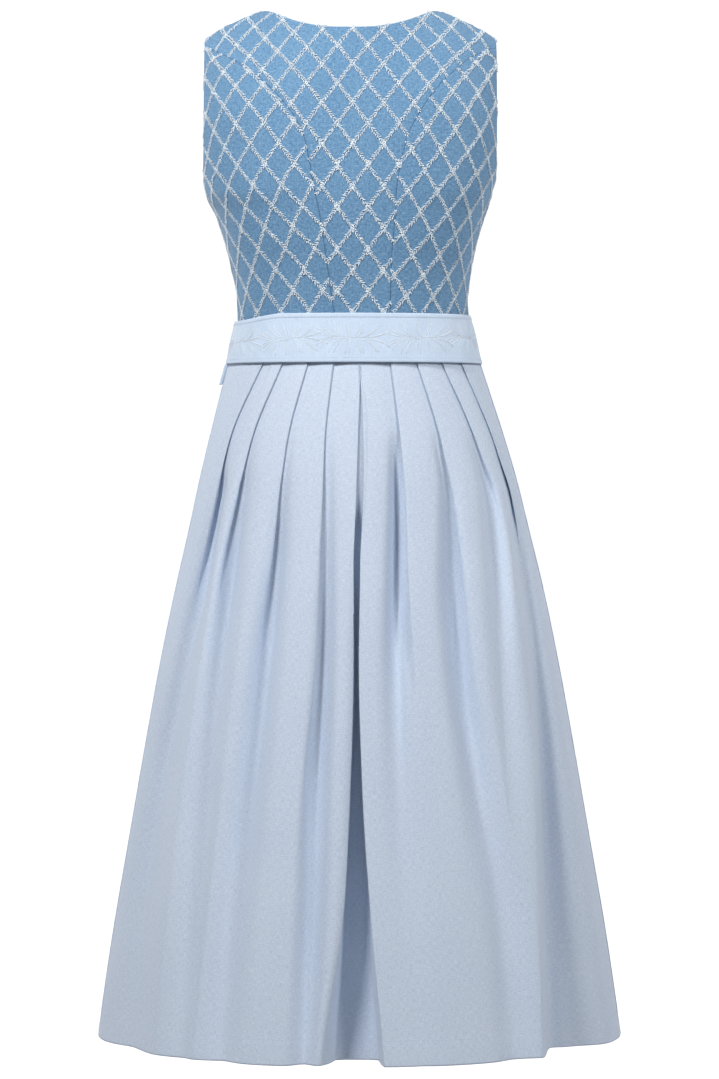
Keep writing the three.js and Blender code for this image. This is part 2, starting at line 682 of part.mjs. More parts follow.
knot();
loopPiece('apron_loop_side', loopPath(1, 29.5, 38));
loopPiece('apron_loop_front', loopPath(-1, 40, 22));
tailPiece('apron_tail_side', 7, 300, 0);
tailPiece('apron_tail_front', -9, 330, 6.4);

export default garment;
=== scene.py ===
# A sleeveless dirndl seen from the back, for Blender 4.5: bodice with a raised diamond trellis,
# pleated skirt, and an apron with a wide waistband and a bow at the wearer's left front.
#
# Shapes are worked out in millimetres: the back faces -Y, the wearer's right side is +X, and a
# drop is a distance down from the neck points. An angle goes round the body from 0 at the centre
# back through 90 at the wearer's right side to 180 at the centre front.

import math
import random

import bpy
import numpy as np
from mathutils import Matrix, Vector


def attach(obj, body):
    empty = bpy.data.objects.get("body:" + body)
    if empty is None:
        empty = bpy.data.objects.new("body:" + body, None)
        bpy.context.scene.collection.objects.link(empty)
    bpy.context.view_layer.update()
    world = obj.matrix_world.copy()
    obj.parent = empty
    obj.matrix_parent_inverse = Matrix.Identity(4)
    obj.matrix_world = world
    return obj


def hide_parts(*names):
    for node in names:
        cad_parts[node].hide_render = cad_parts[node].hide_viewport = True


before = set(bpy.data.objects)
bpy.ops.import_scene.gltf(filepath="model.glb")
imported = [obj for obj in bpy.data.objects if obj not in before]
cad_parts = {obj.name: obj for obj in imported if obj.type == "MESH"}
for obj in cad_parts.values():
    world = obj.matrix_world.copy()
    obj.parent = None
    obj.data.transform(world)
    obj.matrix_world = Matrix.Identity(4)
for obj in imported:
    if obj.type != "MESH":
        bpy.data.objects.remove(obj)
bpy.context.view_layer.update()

MM = 0.001
# Drops of seams and edges, and the shapes of neck, shoulders and armholes
NECK_POINT_Z = 18
WAIST_SEAM, BAND_TOP, BAND_BOTTOM, HEM, APRON_HEM, UNDERARM = 370, 341, 395, 1147, 1092, 206
NECK_HALF, SHOULDER_HALF, SHOULDER_DROP, SHOULDER_RISE, STRAP_BASE = 94, 163, 33, 3.2, 45
BACK_NECK_DROP, BACK_NECK_POWER = 26, 2.4
FRONT_NECK_DROP, FRONT_NECK_POWER = 150, 3.2
BACK_ARMHOLE_TURN = 185
FRONT_TURN, FRONT_HALF, FRONT_HOLLOW = 165, 150, 14
# How far below the shoulder seam the cloth has turned from lying flat to hanging
ROLL_BACK, ROLL_FRONT = 120, 110
# Half of the gap between two panels at a seam
SEAM = 0.2

# Columns: drop, half width, depth behind, depth before, power of the section, lean towards +X
BODY = np.array([
    [0, 168, 66, 60, 2.5, 0], [60, 168, 88, 82, 2.5, 0], [120, 168, 105, 108, 2.5, 0],
    [165, 166.5, 112, 126, 2.4, -0.5], [206, 159.5, 114, 136, 2.4, -1.5], [231, 149.5, 113, 138, 2.3, 0],
    [260, 140.5, 110, 134, 2.3, 0.5], [286, 134.5, 106, 125, 2.2, 1], [311, 130, 102, 115, 2.2, 2],
    [342, 128.5, 99, 107, 2.15, 3], [371, 128.5, 98, 105, 2.1, 3.4],
])
SKIRT = np.array([
    [370, 134, 102, 106, 2.1, 3.4], [395, 141, 108, 111, 2.1, 4], [430, 151, 117, 119, 2.05, 5.5],
    [470, 162.5, 127, 128, 2, 7], [520, 176, 138, 139, 2, 8.5], [580, 190, 149, 150, 2, 9.5],
    [650, 206.5, 162, 163, 2, 10], [730, 223, 175, 176, 2, 10], [820, 239.5, 188, 189, 2, 10],
    [920, 257, 202, 203, 2, 10], [1030, 276, 217, 218, 2, 10], [1147, 293.5, 232, 232, 2, 10],
])
BAND = np.array([
    [BAND_TOP, 131.5, 102, 110, 2.15, 3], [BAND_BOTTOM, 144, 111, 114, 2.1, 4],
])

# Princess seams. Columns: drop, distance of the left and of the right seam from the centre line
BACK_SEAMS = np.array([
    [45, 157, 157], [58, 134, 133], [72, 113, 117], [91, 91, 98], [123, 64, 76], [147, 51, 64],
    [175, 44, 57], [200, 39, 53], [231, 34, 50], [275, 28, 45], [342, 21, 41], [371, 19, 40],
])
FRONT_SEAMS = np.array([
    [165, 145], [185, 122], [206, 101], [235, 87], [275, 74], [310, 65], [342, 60], [371, 58],
])

# Knife pleats: distance of each fold's edge from the centre line and its step over the panel
# below it, both at each of PLEAT_DROPS, and the drops between which the fold opens
PLEAT_DROPS = [395, 470, 505, 540, 620, 720, 850, 1000, 1147]
SOFT_STEPS = [1.6, 3, 5, 7, 6, 3.5, 2, 1, 0.6]
LEFT_PLEATS = [
    ([22, 34, 37, 39, 43, 46, 55, 61, 69], [1.6, 2.4, 3.6, 6, 9, 10, 9.5, 8, 6], (640, 1000)),
    ([50, 74, 81, 87, 96, 107, 121, 138, 152], [1.6, 2.2, 3, 5.5, 10, 9, 6, 4, 3], (560, 760)),
    ([78, 113, 124, 134, 150, 160, 172, 186, 198], [1.4, 2.2, 3.6, 8.5, 11, 6, 3, 3, 2], (545, 700)),
    ([100, 138, 149, 158, 175, 195, 221, 242, 257], [1.2, 2, 3.6, 9.5, 11, 4, 2, 1, 0.6], (550, 700)),
]
RIGHT_PLEATS = [
    ([40, 47, 49, 51, 52, 54, 60, 68, 75], [1.8, 4.5, 8, 11, 12, 9, 5, 3, 2], (600, 800)),
    ([69, 90, 97, 104, 112, 116, 124, 136, 146], [1.6, 3.5, 6.5, 9, 11, 7, 3, 1, 0.6], (580, 760)),
    ([97, 128, 139, 150, 158, 163, 170, 180, 190], [1.6, 3, 4.5, 6, 5, 3, 2, 1, 0.6], (470, 600)),
    ([119, 149, 160, 170, 180, 189, 200, 206, 214], [1.4, 2, 2.6, 3.6, 4, 2, 1, 1, 0.6], (500, 640)),
]
FRONT_PLEATS = [
    ([22, 33, 36, 39, 44, 50, 57, 66, 74], SOFT_STEPS, (470, 620)),
    ([50, 74, 81, 87, 97, 108, 122, 138, 152], SOFT_STEPS, (470, 600)),
    ([78, 112, 122, 130, 145, 158, 174, 190, 202], SOFT_STEPS, (470, 600)),
    ([102, 136, 147, 156, 172, 188, 206, 226, 242], SOFT_STEPS, (470, 620)),
    ([122, 152, 162, 171, 189, 208, 230, 253, 272], SOFT_STEPS, (470, 600)),
]
# The hidden layer of a closed fold lies at least this deep
TUCKED_DEPTH = 4.4

# The inverted pleat of the centre back, closed at its top. Columns: drop, middle, half width and
# depth of its slit
CENTRE_PLEAT = np.array([
    [370, 6, 0.3, 0.3], [411, 6, 0.3, 0.3], [434, 5.8, 1.3, 1.6], [470, 4.5, 2.6, 2.6],
    [540, 1.6, 3.8, 5], [620, -2.7, 3.4, 26], [720, -3.3, 2.4, 46], [850, -3.4, 6, 52],
    [1000, -2.4, 15, 54], [1147, -3, 30, 50],
])
SLIT_ROLL, SLIT_EDGE = 8, 7

# Soft troughs at each of TROUGH_DROPS: place of the middle, depth, and the half widths of the
# sides that face away from and towards the centre, as shares of TROUGH_WIDTH
TROUGH_DROPS = [470, 540, 620, 720, 850, 1000, 1147]
TROUGH_WIDTH = [7, 9, 12, 15, 18, 21, 24]
BACK_TROUGHS = [
    ([-142, -156, -172, -190, -215, -237, -252], [0, 9, 20, 27, 31, 29, 24], 1.1, 0.7),
    ([-113, -129, -141, -154, -168, -182, -194], [0, 8, 17, 18, 14, 9, 5], 1.1, 0.7),
    ([-72, -84, -92, -104, -118, -135, -150], [0, 6, 15, 21, 22, 17, 11], 1.1, 0.7),
    ([-30, -33, -36, -39, -46, -52, -58], [0, 3, 8, 13, 15, 14, 10], 0.67, 0.6),
    ([42, 44, 43, 41, 42, 50, 60], [0, 13, 18, 13, 7, 3, 0], 0.5, 0.8),
    ([86, 99, 99, 107, 127, 154, 168], [0, 9, 18, 23, 22, 17, 12], 1.1, 0.7),
    ([124, 146, 153, 160, 170, 180, 190], [0, 10, 13, 8, 4, 2, 0], 0.9, 0.9),
    ([150, 172, 181, 192, 201, 204, 207], [0, 8, 16, 18, 18, 16, 14], 0.8, 0.3),
]
# The side of the back beyond its last deep fold is set back. Columns: drop, fold, how far back
SET_BACK = np.array([
    [470, 147, 0], [540, 167, 0], [620, 175, 6], [720, 186, 14], [850, 193, 26], [1000, 196, 38],
    [1147, 199, 48],
])
FRONT_TROUGHS = [
    ([30, 36, 40, 46, 54, 63, 70], [0, 3, 6, 7, 7, 7, 6], 1, 1),
    ([109, 127, 141, 154, 170, 186, 198], [0, 4, 8, 10, 12, 12, 11], 1.12, 1.12),
    ([149, 168, 186, 204, 226, 248, 264], [0, 4, 8, 12, 16, 18, 18], 1.08, 1.08),
]

# Apron: reach round from the centre front in degrees, gathers and deep folds in a half turn
APRON_LEFT, APRON_RIGHT, GATHERS, DEEP_FOLDS = 76.5, 73, 24, 9
GATHER_HEIGHT, FOLD_HEIGHT = 2.4, 9
# Knot of the bow: angle, half width in degrees, drop, half height and how far it stands out
KNOT_ANGLE, KNOT_REACH, KNOT_DROP, KNOT_HALF, KNOT_OUT = 222, 5.4, 369, 15, 24


def smooth(stations, values, at):
    """A smooth curve through values at rising stations that never overshoots them."""
    x = np.asarray(stations, float)
    y = np.asarray(values, float)
    rise = np.diff(y) / np.diff(x)
    slope = np.empty_like(y)
    slope[0], slope[-1] = rise[0], rise[-1]
    product = rise[:-1] * rise[1:]
    total = np.where(product > 0, rise[:-1] + rise[1:], 1)
    slope[1:-1] = np.where(product > 0, 2 * product / total, 0)
    t = np.clip(at, x[0], x[-1])
    i = np.clip(np.searchsorted(x, t, side="right") - 1, 0, len(x) - 2)
    width = x[i + 1] - x[i]
    s = (t - x[i]) / width
    return (
        (2 * s**3 - 3 * s**2 + 1) * y[i]
        + (s**3 - 2 * s**2 + s) * width * slope[i]
        + (3 * s**2 - 2 * s**3) * y[i + 1]
        + (s**3 - s**2) * width * slope[i + 1]
    )


def ease(x, start, end):
    s = np.clip((np.asarray(x, float) - start) / (end - start), 0, 1)
    return s * s * (3 - 2 * s)


def lerp(a, b, s):
    return a + (b - a) * s


def column(table, k, drop):
    return smooth(table[:, 0], table[:, k], drop)


def ridge(x):
    """Drop of the shoulder seam at a distance from the centre line."""
    share = (np.abs(x) - NECK_HALF) / (SHOULDER_HALF - NECK_HALF)
    bow = np.clip(share, 0, 1) * (1 - np.clip(share, 0, 1))
    return share * SHOULDER_DROP - SHOULDER_RISE * 4 * bow


def on_section(table, angle, drop, rounded=False):
    half, back, front, power, lean = (column(table, k, drop) for k in range(1, 6))
    across = np.sin(np.radians(angle))
    along = np.cos(np.radians(angle))
    x = half * np.sign(across) * np.abs(across) ** (2 / power)
    depth = np.where(along >= 0, back, front)
    if rounded:
        below = np.clip((drop - ridge(x)) / np.where(along >= 0, ROLL_BACK, ROLL_FRONT), 0, 1)
        depth = depth * np.sqrt(1 - (1 - below) ** 2)
    y = -depth * np.sign(along) * np.abs(along) ** (2 / power)
    return np.stack([x + lean, y, NECK_POINT_Z - drop + 0 * x], -1)


def neck_round(x):
    """How far the point of the neck is rounded down."""
    return 1.7 * np.exp(-(((np.abs(x) - NECK_HALF) / 6) ** 2))


def angle_at(table, out, drop, front=False):
    """The angle at which a section lies at a distance from its centre line."""
    half, power = column(table, 1, drop), column(table, 4, drop)
    side = np.where(np.asarray(out) < 0, -1, 1)
    angle = np.degrees(np.arcsin(np.clip(np.abs(out) / half, 0, 1) ** (power / 2))) * side
    return 180 * side - angle if front else angle


def unit(v):
    return v / np.maximum(np.linalg.norm(v, axis=-1, keepdims=True), 1e-9)


def outward(table, angle, drop):
    step = on_section(table, angle + 1.5, drop) - on_section(table, angle - 1.5, drop)
    return unit(np.stack([-step[..., 1], step[..., 0], 0 * step[..., 0]], -1)) * -1


def beside(table, angle, drop, out):
    """A point of a section moved outward."""
    return on_section(table, angle, drop) + outward(table, angle, drop) * np.asarray(out)[..., None]


def grid_normals(points):
    along = np.gradient(points, axis=1)
    up = np.gradient(points, axis=0)
    return unit(np.cross(along, up))


def seam_normals(points, seam_y):
    """Ends the rows at the side seams, with normals that face straight sideways there."""
    points[:, [0, -1], 1] = seam_y
    normals = grid_normals(points)
    normals[:, [0, -1], 1] = 0
    return unit(normals)


def along_rows(points):
    """Distances along each row from its first point."""
    steps = np.linalg.norm(np.diff(points, axis=1), axis=-1)
    return np.concatenate([np.zeros((len(points), 1)), np.cumsum(steps, 1)], 1)


def arc_rows(points):
    """Distances along each row from its middle."""
    u = along_rows(points)
    return u - u[:, -1:] / 2


def flat_cloth(u, v):
    """Places across and down in the flat cloth, for the weave."""
    return np.stack([u, v + 0 * u, 0 * u], -1)


# Meshes

def add_object(name, data):
    added = bpy.data.objects.new(name, data)
    bpy.context.scene.collection.objects.link(added)
    return added


def make(name, verts, faces, material, cloth=None, scale=MM):
    mesh = bpy.data.meshes.new(name)
    mesh.from_pydata((verts * scale).tolist(), [], faces)
    mesh.polygons.foreach_set("use_smooth", [True] * len(mesh.polygons))
    if cloth is not None:
        attribute = mesh.attributes.new("cloth", "FLOAT_VECTOR", "POINT")
        attribute.data.foreach_set("vector", np.ascontiguousarray(cloth, dtype=np.float32).ravel())
    mesh.materials.append(material)
    mesh.update()
    return add_object(name, mesh)


def finish_piece(piece, node=None):
    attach(piece, "root")
    if node:
        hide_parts(node)
    return piece


def shell(name, points, thickness, material, cloth, normals=None):
    """A closed thin wall: points from the bottom row up, with columns at rising angles."""
    rows, cols = points.shape[:2]
    if normals is None:
        normals = grid_normals(points)
    inner = points - normals * thickness
    verts = np.concatenate([points.reshape(-1, 3), inner.reshape(-1, 3)])
    count = rows * cols
    at = np.arange(count).reshape(rows, cols)
    outer_faces = np.stack([at[:-1, :-1], at[:-1, 1:], at[1:, 1:], at[1:, :-1]], -1).reshape(-1, 4)
    back = outer_faces[:, [0, 3, 2, 1]] + count

    def rim(a, b):
        return np.stack([a, a + count, b + count, b], -1)

    faces = np.concatenate([
        outer_faces,
        back,
        rim(at[0, :-1], at[0, 1:]),
        rim(at[-1, 1:], at[-1, :-1]),
        rim(at[1:, 0], at[:-1, 0]),
        rim(at[:-1, -1], at[1:, -1]),
    ])
    both = np.concatenate([cloth.reshape(-1, 3)] * 2)
    return make(name, verts, faces.tolist(), material, both)


def strands(name, paths, material, sides=3):
    """One joined mesh of closed thin tubes. A path is (points, radii, normals)."""
    verts, faces, start = [], [], 0
    for points, radii, normals in paths:
        tangent = unit(np.gradient(points, axis=0))
        cross = unit(np.cross(tangent, normals))
        rise = np.cross(cross, tangent)
        turn = 2 * np.pi * np.arange(sides) / sides + np.pi * (0.5 - 1 / sides)
        radii = np.asarray(radii)[:, None]
        corners = zip(np.cos(turn), np.sin(turn))
        ring = np.stack([points + cross * radii * c + rise * radii * s for c, s in corners], 1)
        n = len(points)
        verts.append(ring.reshape(-1, 3))
        at = start + np.arange(n * sides).reshape(n, sides)
        nxt = np.roll(at, -1, axis=1)
        faces.append(np.stack([at[:-1], at[1:], nxt[1:], nxt[:-1]], -1).reshape(-1, 4))
        for ring_at in (at[0], at[-1][::-1]):
            faces.append(ring_at[[0, 1, 2, 3 % sides]][None, :])
        start += n * sides
    # A tube with three sides has triangles as its ends
    listed = [list(dict.fromkeys(face)) for face in np.concatenate(faces).tolist()]
    return make(name, np.concatenate(verts), listed, material)


# Materials

def new_material(name):
    material = bpy.data.materials.new(name)
    material.use_nodes = True
    tree = material.node_tree
    shader = tree.nodes["Principled BSDF"]
    return material, tree, shader


def add_node(tree, kind, inputs=(), **settings):
    made = tree.nodes.new(kind)
    for key, value in settings.items():
        setattr(made, key, value)
    for key, value in dict(inputs).items():
        if isinstance(value, bpy.types.NodeSocket):
            tree.links.new(value, made.inputs[key])
        else:
            made.inputs[key].default_value = value
    return made


def noise(tree, source, factors, detail=2):
    scaled = add_node(tree, "ShaderNodeVectorMath", {0: source, 1: factors}, operation="MULTIPLY")
    inputs = {"Vector": scaled.outputs[0], "Scale": 1, "Detail": detail, "Roughness": 0.5}
    return add_node(tree, "ShaderNodeTexNoise", inputs).outputs["Fac"]


def maths(tree, operation, a, b):
    return add_node(tree, "ShaderNodeMath", {0: a, 1: b}, operation=operation).outputs[0]


def ramp(tree, value, stops):
    made = add_node(tree, "ShaderNodeValToRGB", {"Fac": value})
    made.color_ramp.elements.remove(made.color_ramp.elements[0])
    for i, (place, colour) in enumerate(stops):
        stop = made.color_ramp.elements[0] if i == 0 else made.color_ramp.elements.new(place)
        stop.position = place
        stop.color = (*colour, 1)
    return made.outputs["Color"]


def linear(r, g, b):
    """An sRGB colour from 0 to 255 as linear values."""
    return tuple((c / 255 / 12.92) if c <= 10 else ((c / 255 + 0.055) / 1.055) ** 2.4 for c in (r, g, b))


def set_surface(tree, shader, colour, height, strength, distance, roughness, specular, sheen):
    bump = {"Height": height, "Strength": strength, "Distance": distance * MM}
    tree.links.new(colour, shader.inputs["Base Color"])
    tree.links.new(add_node(tree, "ShaderNodeBump", bump).outputs[0], shader.inputs["Normal"])
    shader.inputs["Roughness"].default_value = roughness
    shader.inputs["Specular IOR Level"].default_value = specular
    shader.inputs["Sheen Weight"].default_value = sheen


def woven(name, dark, mid, light, across, up, bump, sheen, roughness):
    """Cloth with threads both ways: across and up are the lengths and thicknesses of its slubs."""
    material, tree, shader = new_material(name)
    cloth = add_node(tree, "ShaderNodeAttribute", attribute_name="cloth").outputs["Vector"]
    weft = noise(tree, cloth, (1 / across[0], 1 / across[1], 0))
    warp = noise(tree, cloth, (1 / up[1], 1 / up[0], 0))
    broad = noise(tree, cloth, (1 / 70, 1 / 110, 0), detail=3)
    both = maths(tree, "ADD", weft, warp)
    value = maths(tree, "MULTIPLY", both, 0.5)
    toned = maths(tree, "ADD", value, maths(tree, "MULTIPLY", maths(tree, "SUBTRACT", broad, 0.5), 0.1))
    colour = ramp(tree, toned, [(0.3, dark), (0.5, mid), (0.7, light)])
    set_surface(tree, shader, colour, value, 0.6, bump, roughness, 0.25, sheen)
    shader.inputs["Sheen Roughness"].default_value = 0.5
    return material


def thread(name, dark, light, sheen=0.3, roughness=0.85):
    material, tree, shader = new_material(name)
    place = add_node(tree, "ShaderNodeTexCoord").outputs["Object"]
    grain = noise(tree, place, (900, 900, 900), detail=1)
    colour = ramp(tree, grain, [(0.35, dark), (0.65, light)])
    set_surface(tree, shader, colour, grain, 0.4, 0.3, roughness, 0.2, sheen)
    return material


BODICE = woven(
    "bodice_weave", linear(78, 120, 158), linear(108, 150, 187), linear(144, 182, 211),
    (5, 1.0), (3.2, 1.8), 0.5, 0.2, 0.85,
)
TRELLIS = thread("trellis_yarn", linear(222, 240, 254), linear(248, 253, 255))
PIPING = thread("edge_piping", linear(196, 214, 232), linear(226, 236, 246))
LINEN = woven(
    "skirt_linen", linear(190, 205, 227), linear(208, 221, 239), linear(226, 235, 247),
    (5, 0.9), (5, 0.9), 0.3, 0.2, 0.9,
)
SILK = woven(
    "apron_cloth", linear(194, 214, 238), linear(206, 223, 243), linear(216, 231, 248),
    (6, 0.9), (10, 0.9), 0.15, 0.35, 0.6,
)
LEAF = thread("leaf_thread", linear(222, 235, 249), linear(240, 247, 254), 0.3, 0.6)
STITCH = thread("sewing_thread", linear(176, 194, 220), linear(200, 215, 236))


# Bodice: seven panels between the princess, side, shoulder and centre-front seams

# Places of the first columns beside a panel's edge
EDGE_STEPS = np.array([0, 0.35, 0.8, 1.5, 2.6])
DEGREES_PER_MM = 0.38
WALL_BODICE = 1.3
EDGE_ROLL, EDGE_ROLL_WIDTH = 0.6, 0.7
panel_grids = {}

# Where the straight grain of each side panel runs: distance from the centre line at each drop
GRAIN_DROPS = [45, 99, 142, 186, 235, 280, 328]
GRAIN_OUT = {"left": [112, 111, 110, 108.5, 97, 84, 76], "right": [110, 112, 115, 112, 106, 97, 90]}


def spread(start, end, count, step=EDGE_STEPS):
    """Stations from start to end, one row of them for each start, closer together at both ends."""
    start, end = np.asarray(start, float)[:, None], np.asarray(end, float)[:, None]
    sign = np.sign(end - start)
    first, last = start + sign * step, end - sign * step[::-1]
    s = np.linspace(0, 1, count + 2)[1:-1]
    return np.concatenate([first, lerp(first[:, -1:], last[:, :1], s), last], 1)


def arc_at(x, row, arc):
    """The arc length at which a row of points reaches x, carried on in line past either end."""
    if row[0] > row[-1]:
        row, arc = row[::-1], arc[::-1]
    if x < row[0]:
        return arc[0] + (x - row[0]) * (arc[4] - arc[0]) / (row[4] - row[0])
    if x > row[-1]:
        return arc[-1] + (x - row[-1]) * (arc[-1] - arc[-5]) / (row[-1] - row[-5])
    return np.interp(x, row, arc)


def bodice_panel(name, angle, drop):
    points = on_section(BODY, angle, drop, True)
    across = on_section(BODY, angle + 0.5, drop, True) - on_section(BODY, angle - 0.5, drop, True)
    up = on_section(BODY, angle, drop - 0.7, True) - on_section(BODY, angle, drop + 0.7, True)
    normals = unit(np.cross(across, up))
    behind = np.all(np.abs(angle) < 91)
    seam = np.abs(points[..., 1]) < SEAM
    points[seam, 1] = -SEAM if behind else SEAM
    normals[seam, 1] = 0
    normals = unit(normals)
    u = along_rows(points[..., :2])
    from_edge = np.minimum(u, u[:, -1:] - u)
    if "side" in name:
        side, sign = ("left", -1) if "left" in name else ("right", 1)
        line = sign * smooth(GRAIN_DROPS, GRAIN_OUT[side], drop[:, 0])
        u = u - np.array([[arc_at(x, row[:, 0], arc)] for x, row, arc in zip(line, points, u)])
    elif "front" in name:
        u = u - u[:, -1 if "right" in name else 0, None]
    else:
        u = u - np.array([[np.interp(0, row[:, 0], arc)] for row, arc in zip(points, u)])
    v = WAIST_SEAM - along_rows(points[..., 1:].swapaxes(0, 1)).T
    rolled = EDGE_ROLL * np.exp(-((from_edge / EDGE_ROLL_WIDTH) ** 2))
    points = points - normals * rolled[..., None]
    panel_grids[name] = (points, normals, u, v)
    piece = shell(name + "_cloth", points, WALL_BODICE, BODICE, flat_cloth(u, v), normals)
    return finish_piece(piece, name)


def back_centre():
    drops = np.linspace(WAIST_SEAM, STRAP_BASE, 120)
    out = spread(SEAM - column(BACK_SEAMS, 1, drops), column(BACK_SEAMS, 2, drops) - SEAM, 60)
    share = (out - out[:, :1]) / (out[:, -1:] - out[:, :1])
    rises = np.array([0.05, 0.12, 0.2, 0.3, 0.4, 0.5, 0.6, 0.7, 0.78, 0.85, 0.91, 0.95, 0.98, 1])
    half = SHOULDER_HALF - SEAM
    x = lerp(-half, half, share[-1])
    reach = np.clip(np.abs(x) / NECK_HALF, 0, 1)
    stand = np.where(np.abs(x) < NECK_HALF, BACK_NECK_DROP * (1 - reach**BACK_NECK_POWER), ridge(x))
    stand = stand + neck_round(x)
    top_out = np.tile(x, (len(rises), 1))
    top_drop = lerp(STRAP_BASE, stand[None, :], rises[:, None])
    out = np.concatenate([out, top_out])
    drop = np.concatenate([np.tile(drops[:, None], (1, out.shape[1])), top_drop])
    return bodice_panel("bodice_back_centre", angle_at(BODY, out, drop), drop)


def round_over(drop, turn):
    s = np.clip((UNDERARM - drop) / (UNDERARM - turn), 0, 1)
    return np.sqrt(np.maximum(0, 1 - (1 - s) ** 2))


def side_panel(name, side, seams, top, rows_up, arm_half, turn):
    """A panel from a princess seam to the side seam, with its part of the armhole above."""
    front = seams is FRONT_SEAMS
    below = np.linspace(WAIST_SEAM, UNDERARM + 2, 60)
    drops = np.concatenate([below, np.linspace(UNDERARM, top, rows_up)])
    which = 1 if front or side < 0 else 2
    seam = angle_at(BODY, column(seams, which, drops) + SEAM, drops, front)
    edge = lerp(90, angle_at(BODY, arm_half, drops, front), round_over(drops, turn))
    edge = np.where(drops >= UNDERARM, 90, edge)
    angle = spread(seam, edge, 30, EDGE_STEPS * DEGREES_PER_MM)
    if side < 0:
        angle = -angle
    if angle[0, 0] > angle[0, -1]:
        angle = angle[:, ::-1]
    return bodice_panel(name, angle, np.tile(drops[:, None], (1, angle.shape[1])))


def front_panel(name, side):
    drops = np.linspace(WAIST_SEAM, FRONT_TURN, 76)
    out = spread(np.full(len(drops), SEAM), column(FRONT_SEAMS, 1, drops) - SEAM, 46)
    share = (out[-1] - out[-1, 0]) / (out[-1, -1] - out[-1, 0])
    neck_part = 0.6
    top_out = np.where(
        share < neck_part,
        lerp(SEAM, NECK_HALF, share / neck_part),
        lerp(NECK_HALF, SHOULDER_HALF - SEAM, (share - neck_part) / (1 - neck_part)),
    )
    top_drop = np.where(
        share < neck_part, FRONT_NECK_DROP * (1 - (top_out / NECK_HALF) ** FRONT_NECK_POWER), ridge(top_out)
    )
    top_drop = top_drop + neck_round(top_out)
    rises = np.concatenate([np.linspace(0, 0.94, 50)[1:], [0.96, 0.98, 0.99, 1]])[:, None]
    base = lerp(SEAM, FRONT_HALF, share)
    hollow = FRONT_HOLLOW * 4 * rises * (1 - rises) * share**3
    out = np.concatenate([out, lerp(base, top_out, rises) - hollow])
    drop = np.concatenate([np.tile(drops[:, None], (1, out.shape[1])), lerp(FRONT_TURN, top_drop, rises)])
    angle = angle_at(BODY, out, drop, True)
    if side > 0:
        angle, drop = angle[:, ::-1], drop[:, ::-1]
    else:
        angle = -angle
    return bodice_panel(name, angle, drop)


bodice = {"bodice_back_centre": back_centre()}
for part, build, sizes in (
    ("side_back", side_panel, (BACK_SEAMS, STRAP_BASE, 76, SHOULDER_HALF, BACK_ARMHOLE_TURN)),
    ("side_front", side_panel, (FRONT_SEAMS, FRONT_TURN, 24, FRONT_HALF, FRONT_TURN)),
    ("front", front_panel, ()),
):
    for side, sign in (("left", -1), ("right", 1)):
        panel = f"bodice_{part}_{side}"
        bodice[panel] = build(panel, sign, *sizes)


# Trellis: raised yarn along two families of slanting lines, drawn in each panel's own cloth

TRELLIS_HALF_WIDE, TRELLIS_HALF_TALL = 16.8, 23
# Steps between the loops of yarn and their reach to the side, on lines and at crossings
LINE_STEP, LINE_REACH, CROSSING_STEP, CROSSING_REACH = 1.25, 1.6, 1.9, 1.9
# A crossing of each panel, across and down in its cloth
TRELLIS_START = {
    "bodice_back_centre": (2.6, 156.8),
    "bodice_side_back_left": (0, 155),
    "bodice_side_back_right": (0, 185),
    "bodice_side_front_left": (6, 150),
    "bodice_side_front_right": (-6, 190),
    "bodice_front_left": (0, 160),
    "bodice_front_right": (0, 160),
}


def crossings(values, level, fields):
    """Where a field passes a level along the grid's edges, with every other field there."""
    found = []
    every, before, after = slice(None), slice(None, -1), slice(1, None)
    for first, second in ((before, after), ((every, before), (every, after))):
        a, b = values[first], values[second]
        hit = (a - level) * (b - level) < 0
        share = ((level - a[hit]) / (b[hit] - a[hit]))[:, None]
        found.append(lerp(fields[first][hit], fields[second][hit], share))
    return np.concatenate(found)


def resample(path, step):
    length = along_rows(path[None, :, :3])[0]
    count = max(int(length[-1] / step), 2)
    at = np.linspace(0, length[-1], count + 1)
    return np.stack([np.interp(at, length, path[:, k]) for k in range(path.shape[1])], 1)


def trellis_lines(fields, u0, v0):
    u, v = fields[..., 6], fields[..., 7]
    lines = []
    for sign in (1, -1):
        value = (u - u0) / TRELLIS_HALF_WIDE + sign * (v - v0) / TRELLIS_HALF_TALL
        for level in range(2 * math.floor(value.min() / 2), math.ceil(value.max()) + 1, 2):
            found = crossings(value, level + 1e-6, fields)
            if len(found) < 4:
                continue
            found = found[np.argsort(found[:, 7])]
            breaks = np.where(np.linalg.norm(np.diff(found[:, :3], axis=0), axis=1) > 14)[0] + 1
            for line in np.split(found, breaks):
                if len(line) > 3 and np.linalg.norm(line[-1, :3] - line[0, :3]) > 3:
                    lines.append(resample(line, 1.0))
    return lines


def fleck(point, normal, tangent, rng, lean, length, radius):
    """One short raised loop of yarn, thickest in its middle."""
    side = np.cross(normal, tangent)
    way = tangent * math.cos(lean) + side * math.sin(lean)
    half = way * length / 2
    line = np.stack([point - half, point + normal * radius * rng.uniform(0.5, 1.1), point + half])
    return line, radius * np.array([0.65, 1, 0.65]), np.tile(normal, (3, 1))


def yarn_along(line, rng, spacing, reach):
    """Loops of yarn along a line that lies on the cloth, leaning to either side in turn."""
    fine = resample(line, spacing)
    points, normals = fine[:, :3], unit(fine[:, 3:6])
    tangents = unit(np.gradient(points, axis=0))
    flecks, turn = [], 1
    for point, normal, tangent in zip(points, normals, tangents):
        turn = -turn
        off = np.cross(normal, tangent) * (turn * reach * rng.uniform(0.2, 1.1))
        slip = tangent * rng.uniform(-0.5, 0.5)
        lean = turn * rng.uniform(0.35, 1.2)
        place = point + off + slip + normal * 0.2
        length, radius = rng.uniform(2.6, 4.2), rng.uniform(0.55, 0.8)
        flecks.append(fleck(place, normal, tangent, rng, lean, length, radius))
    return flecks


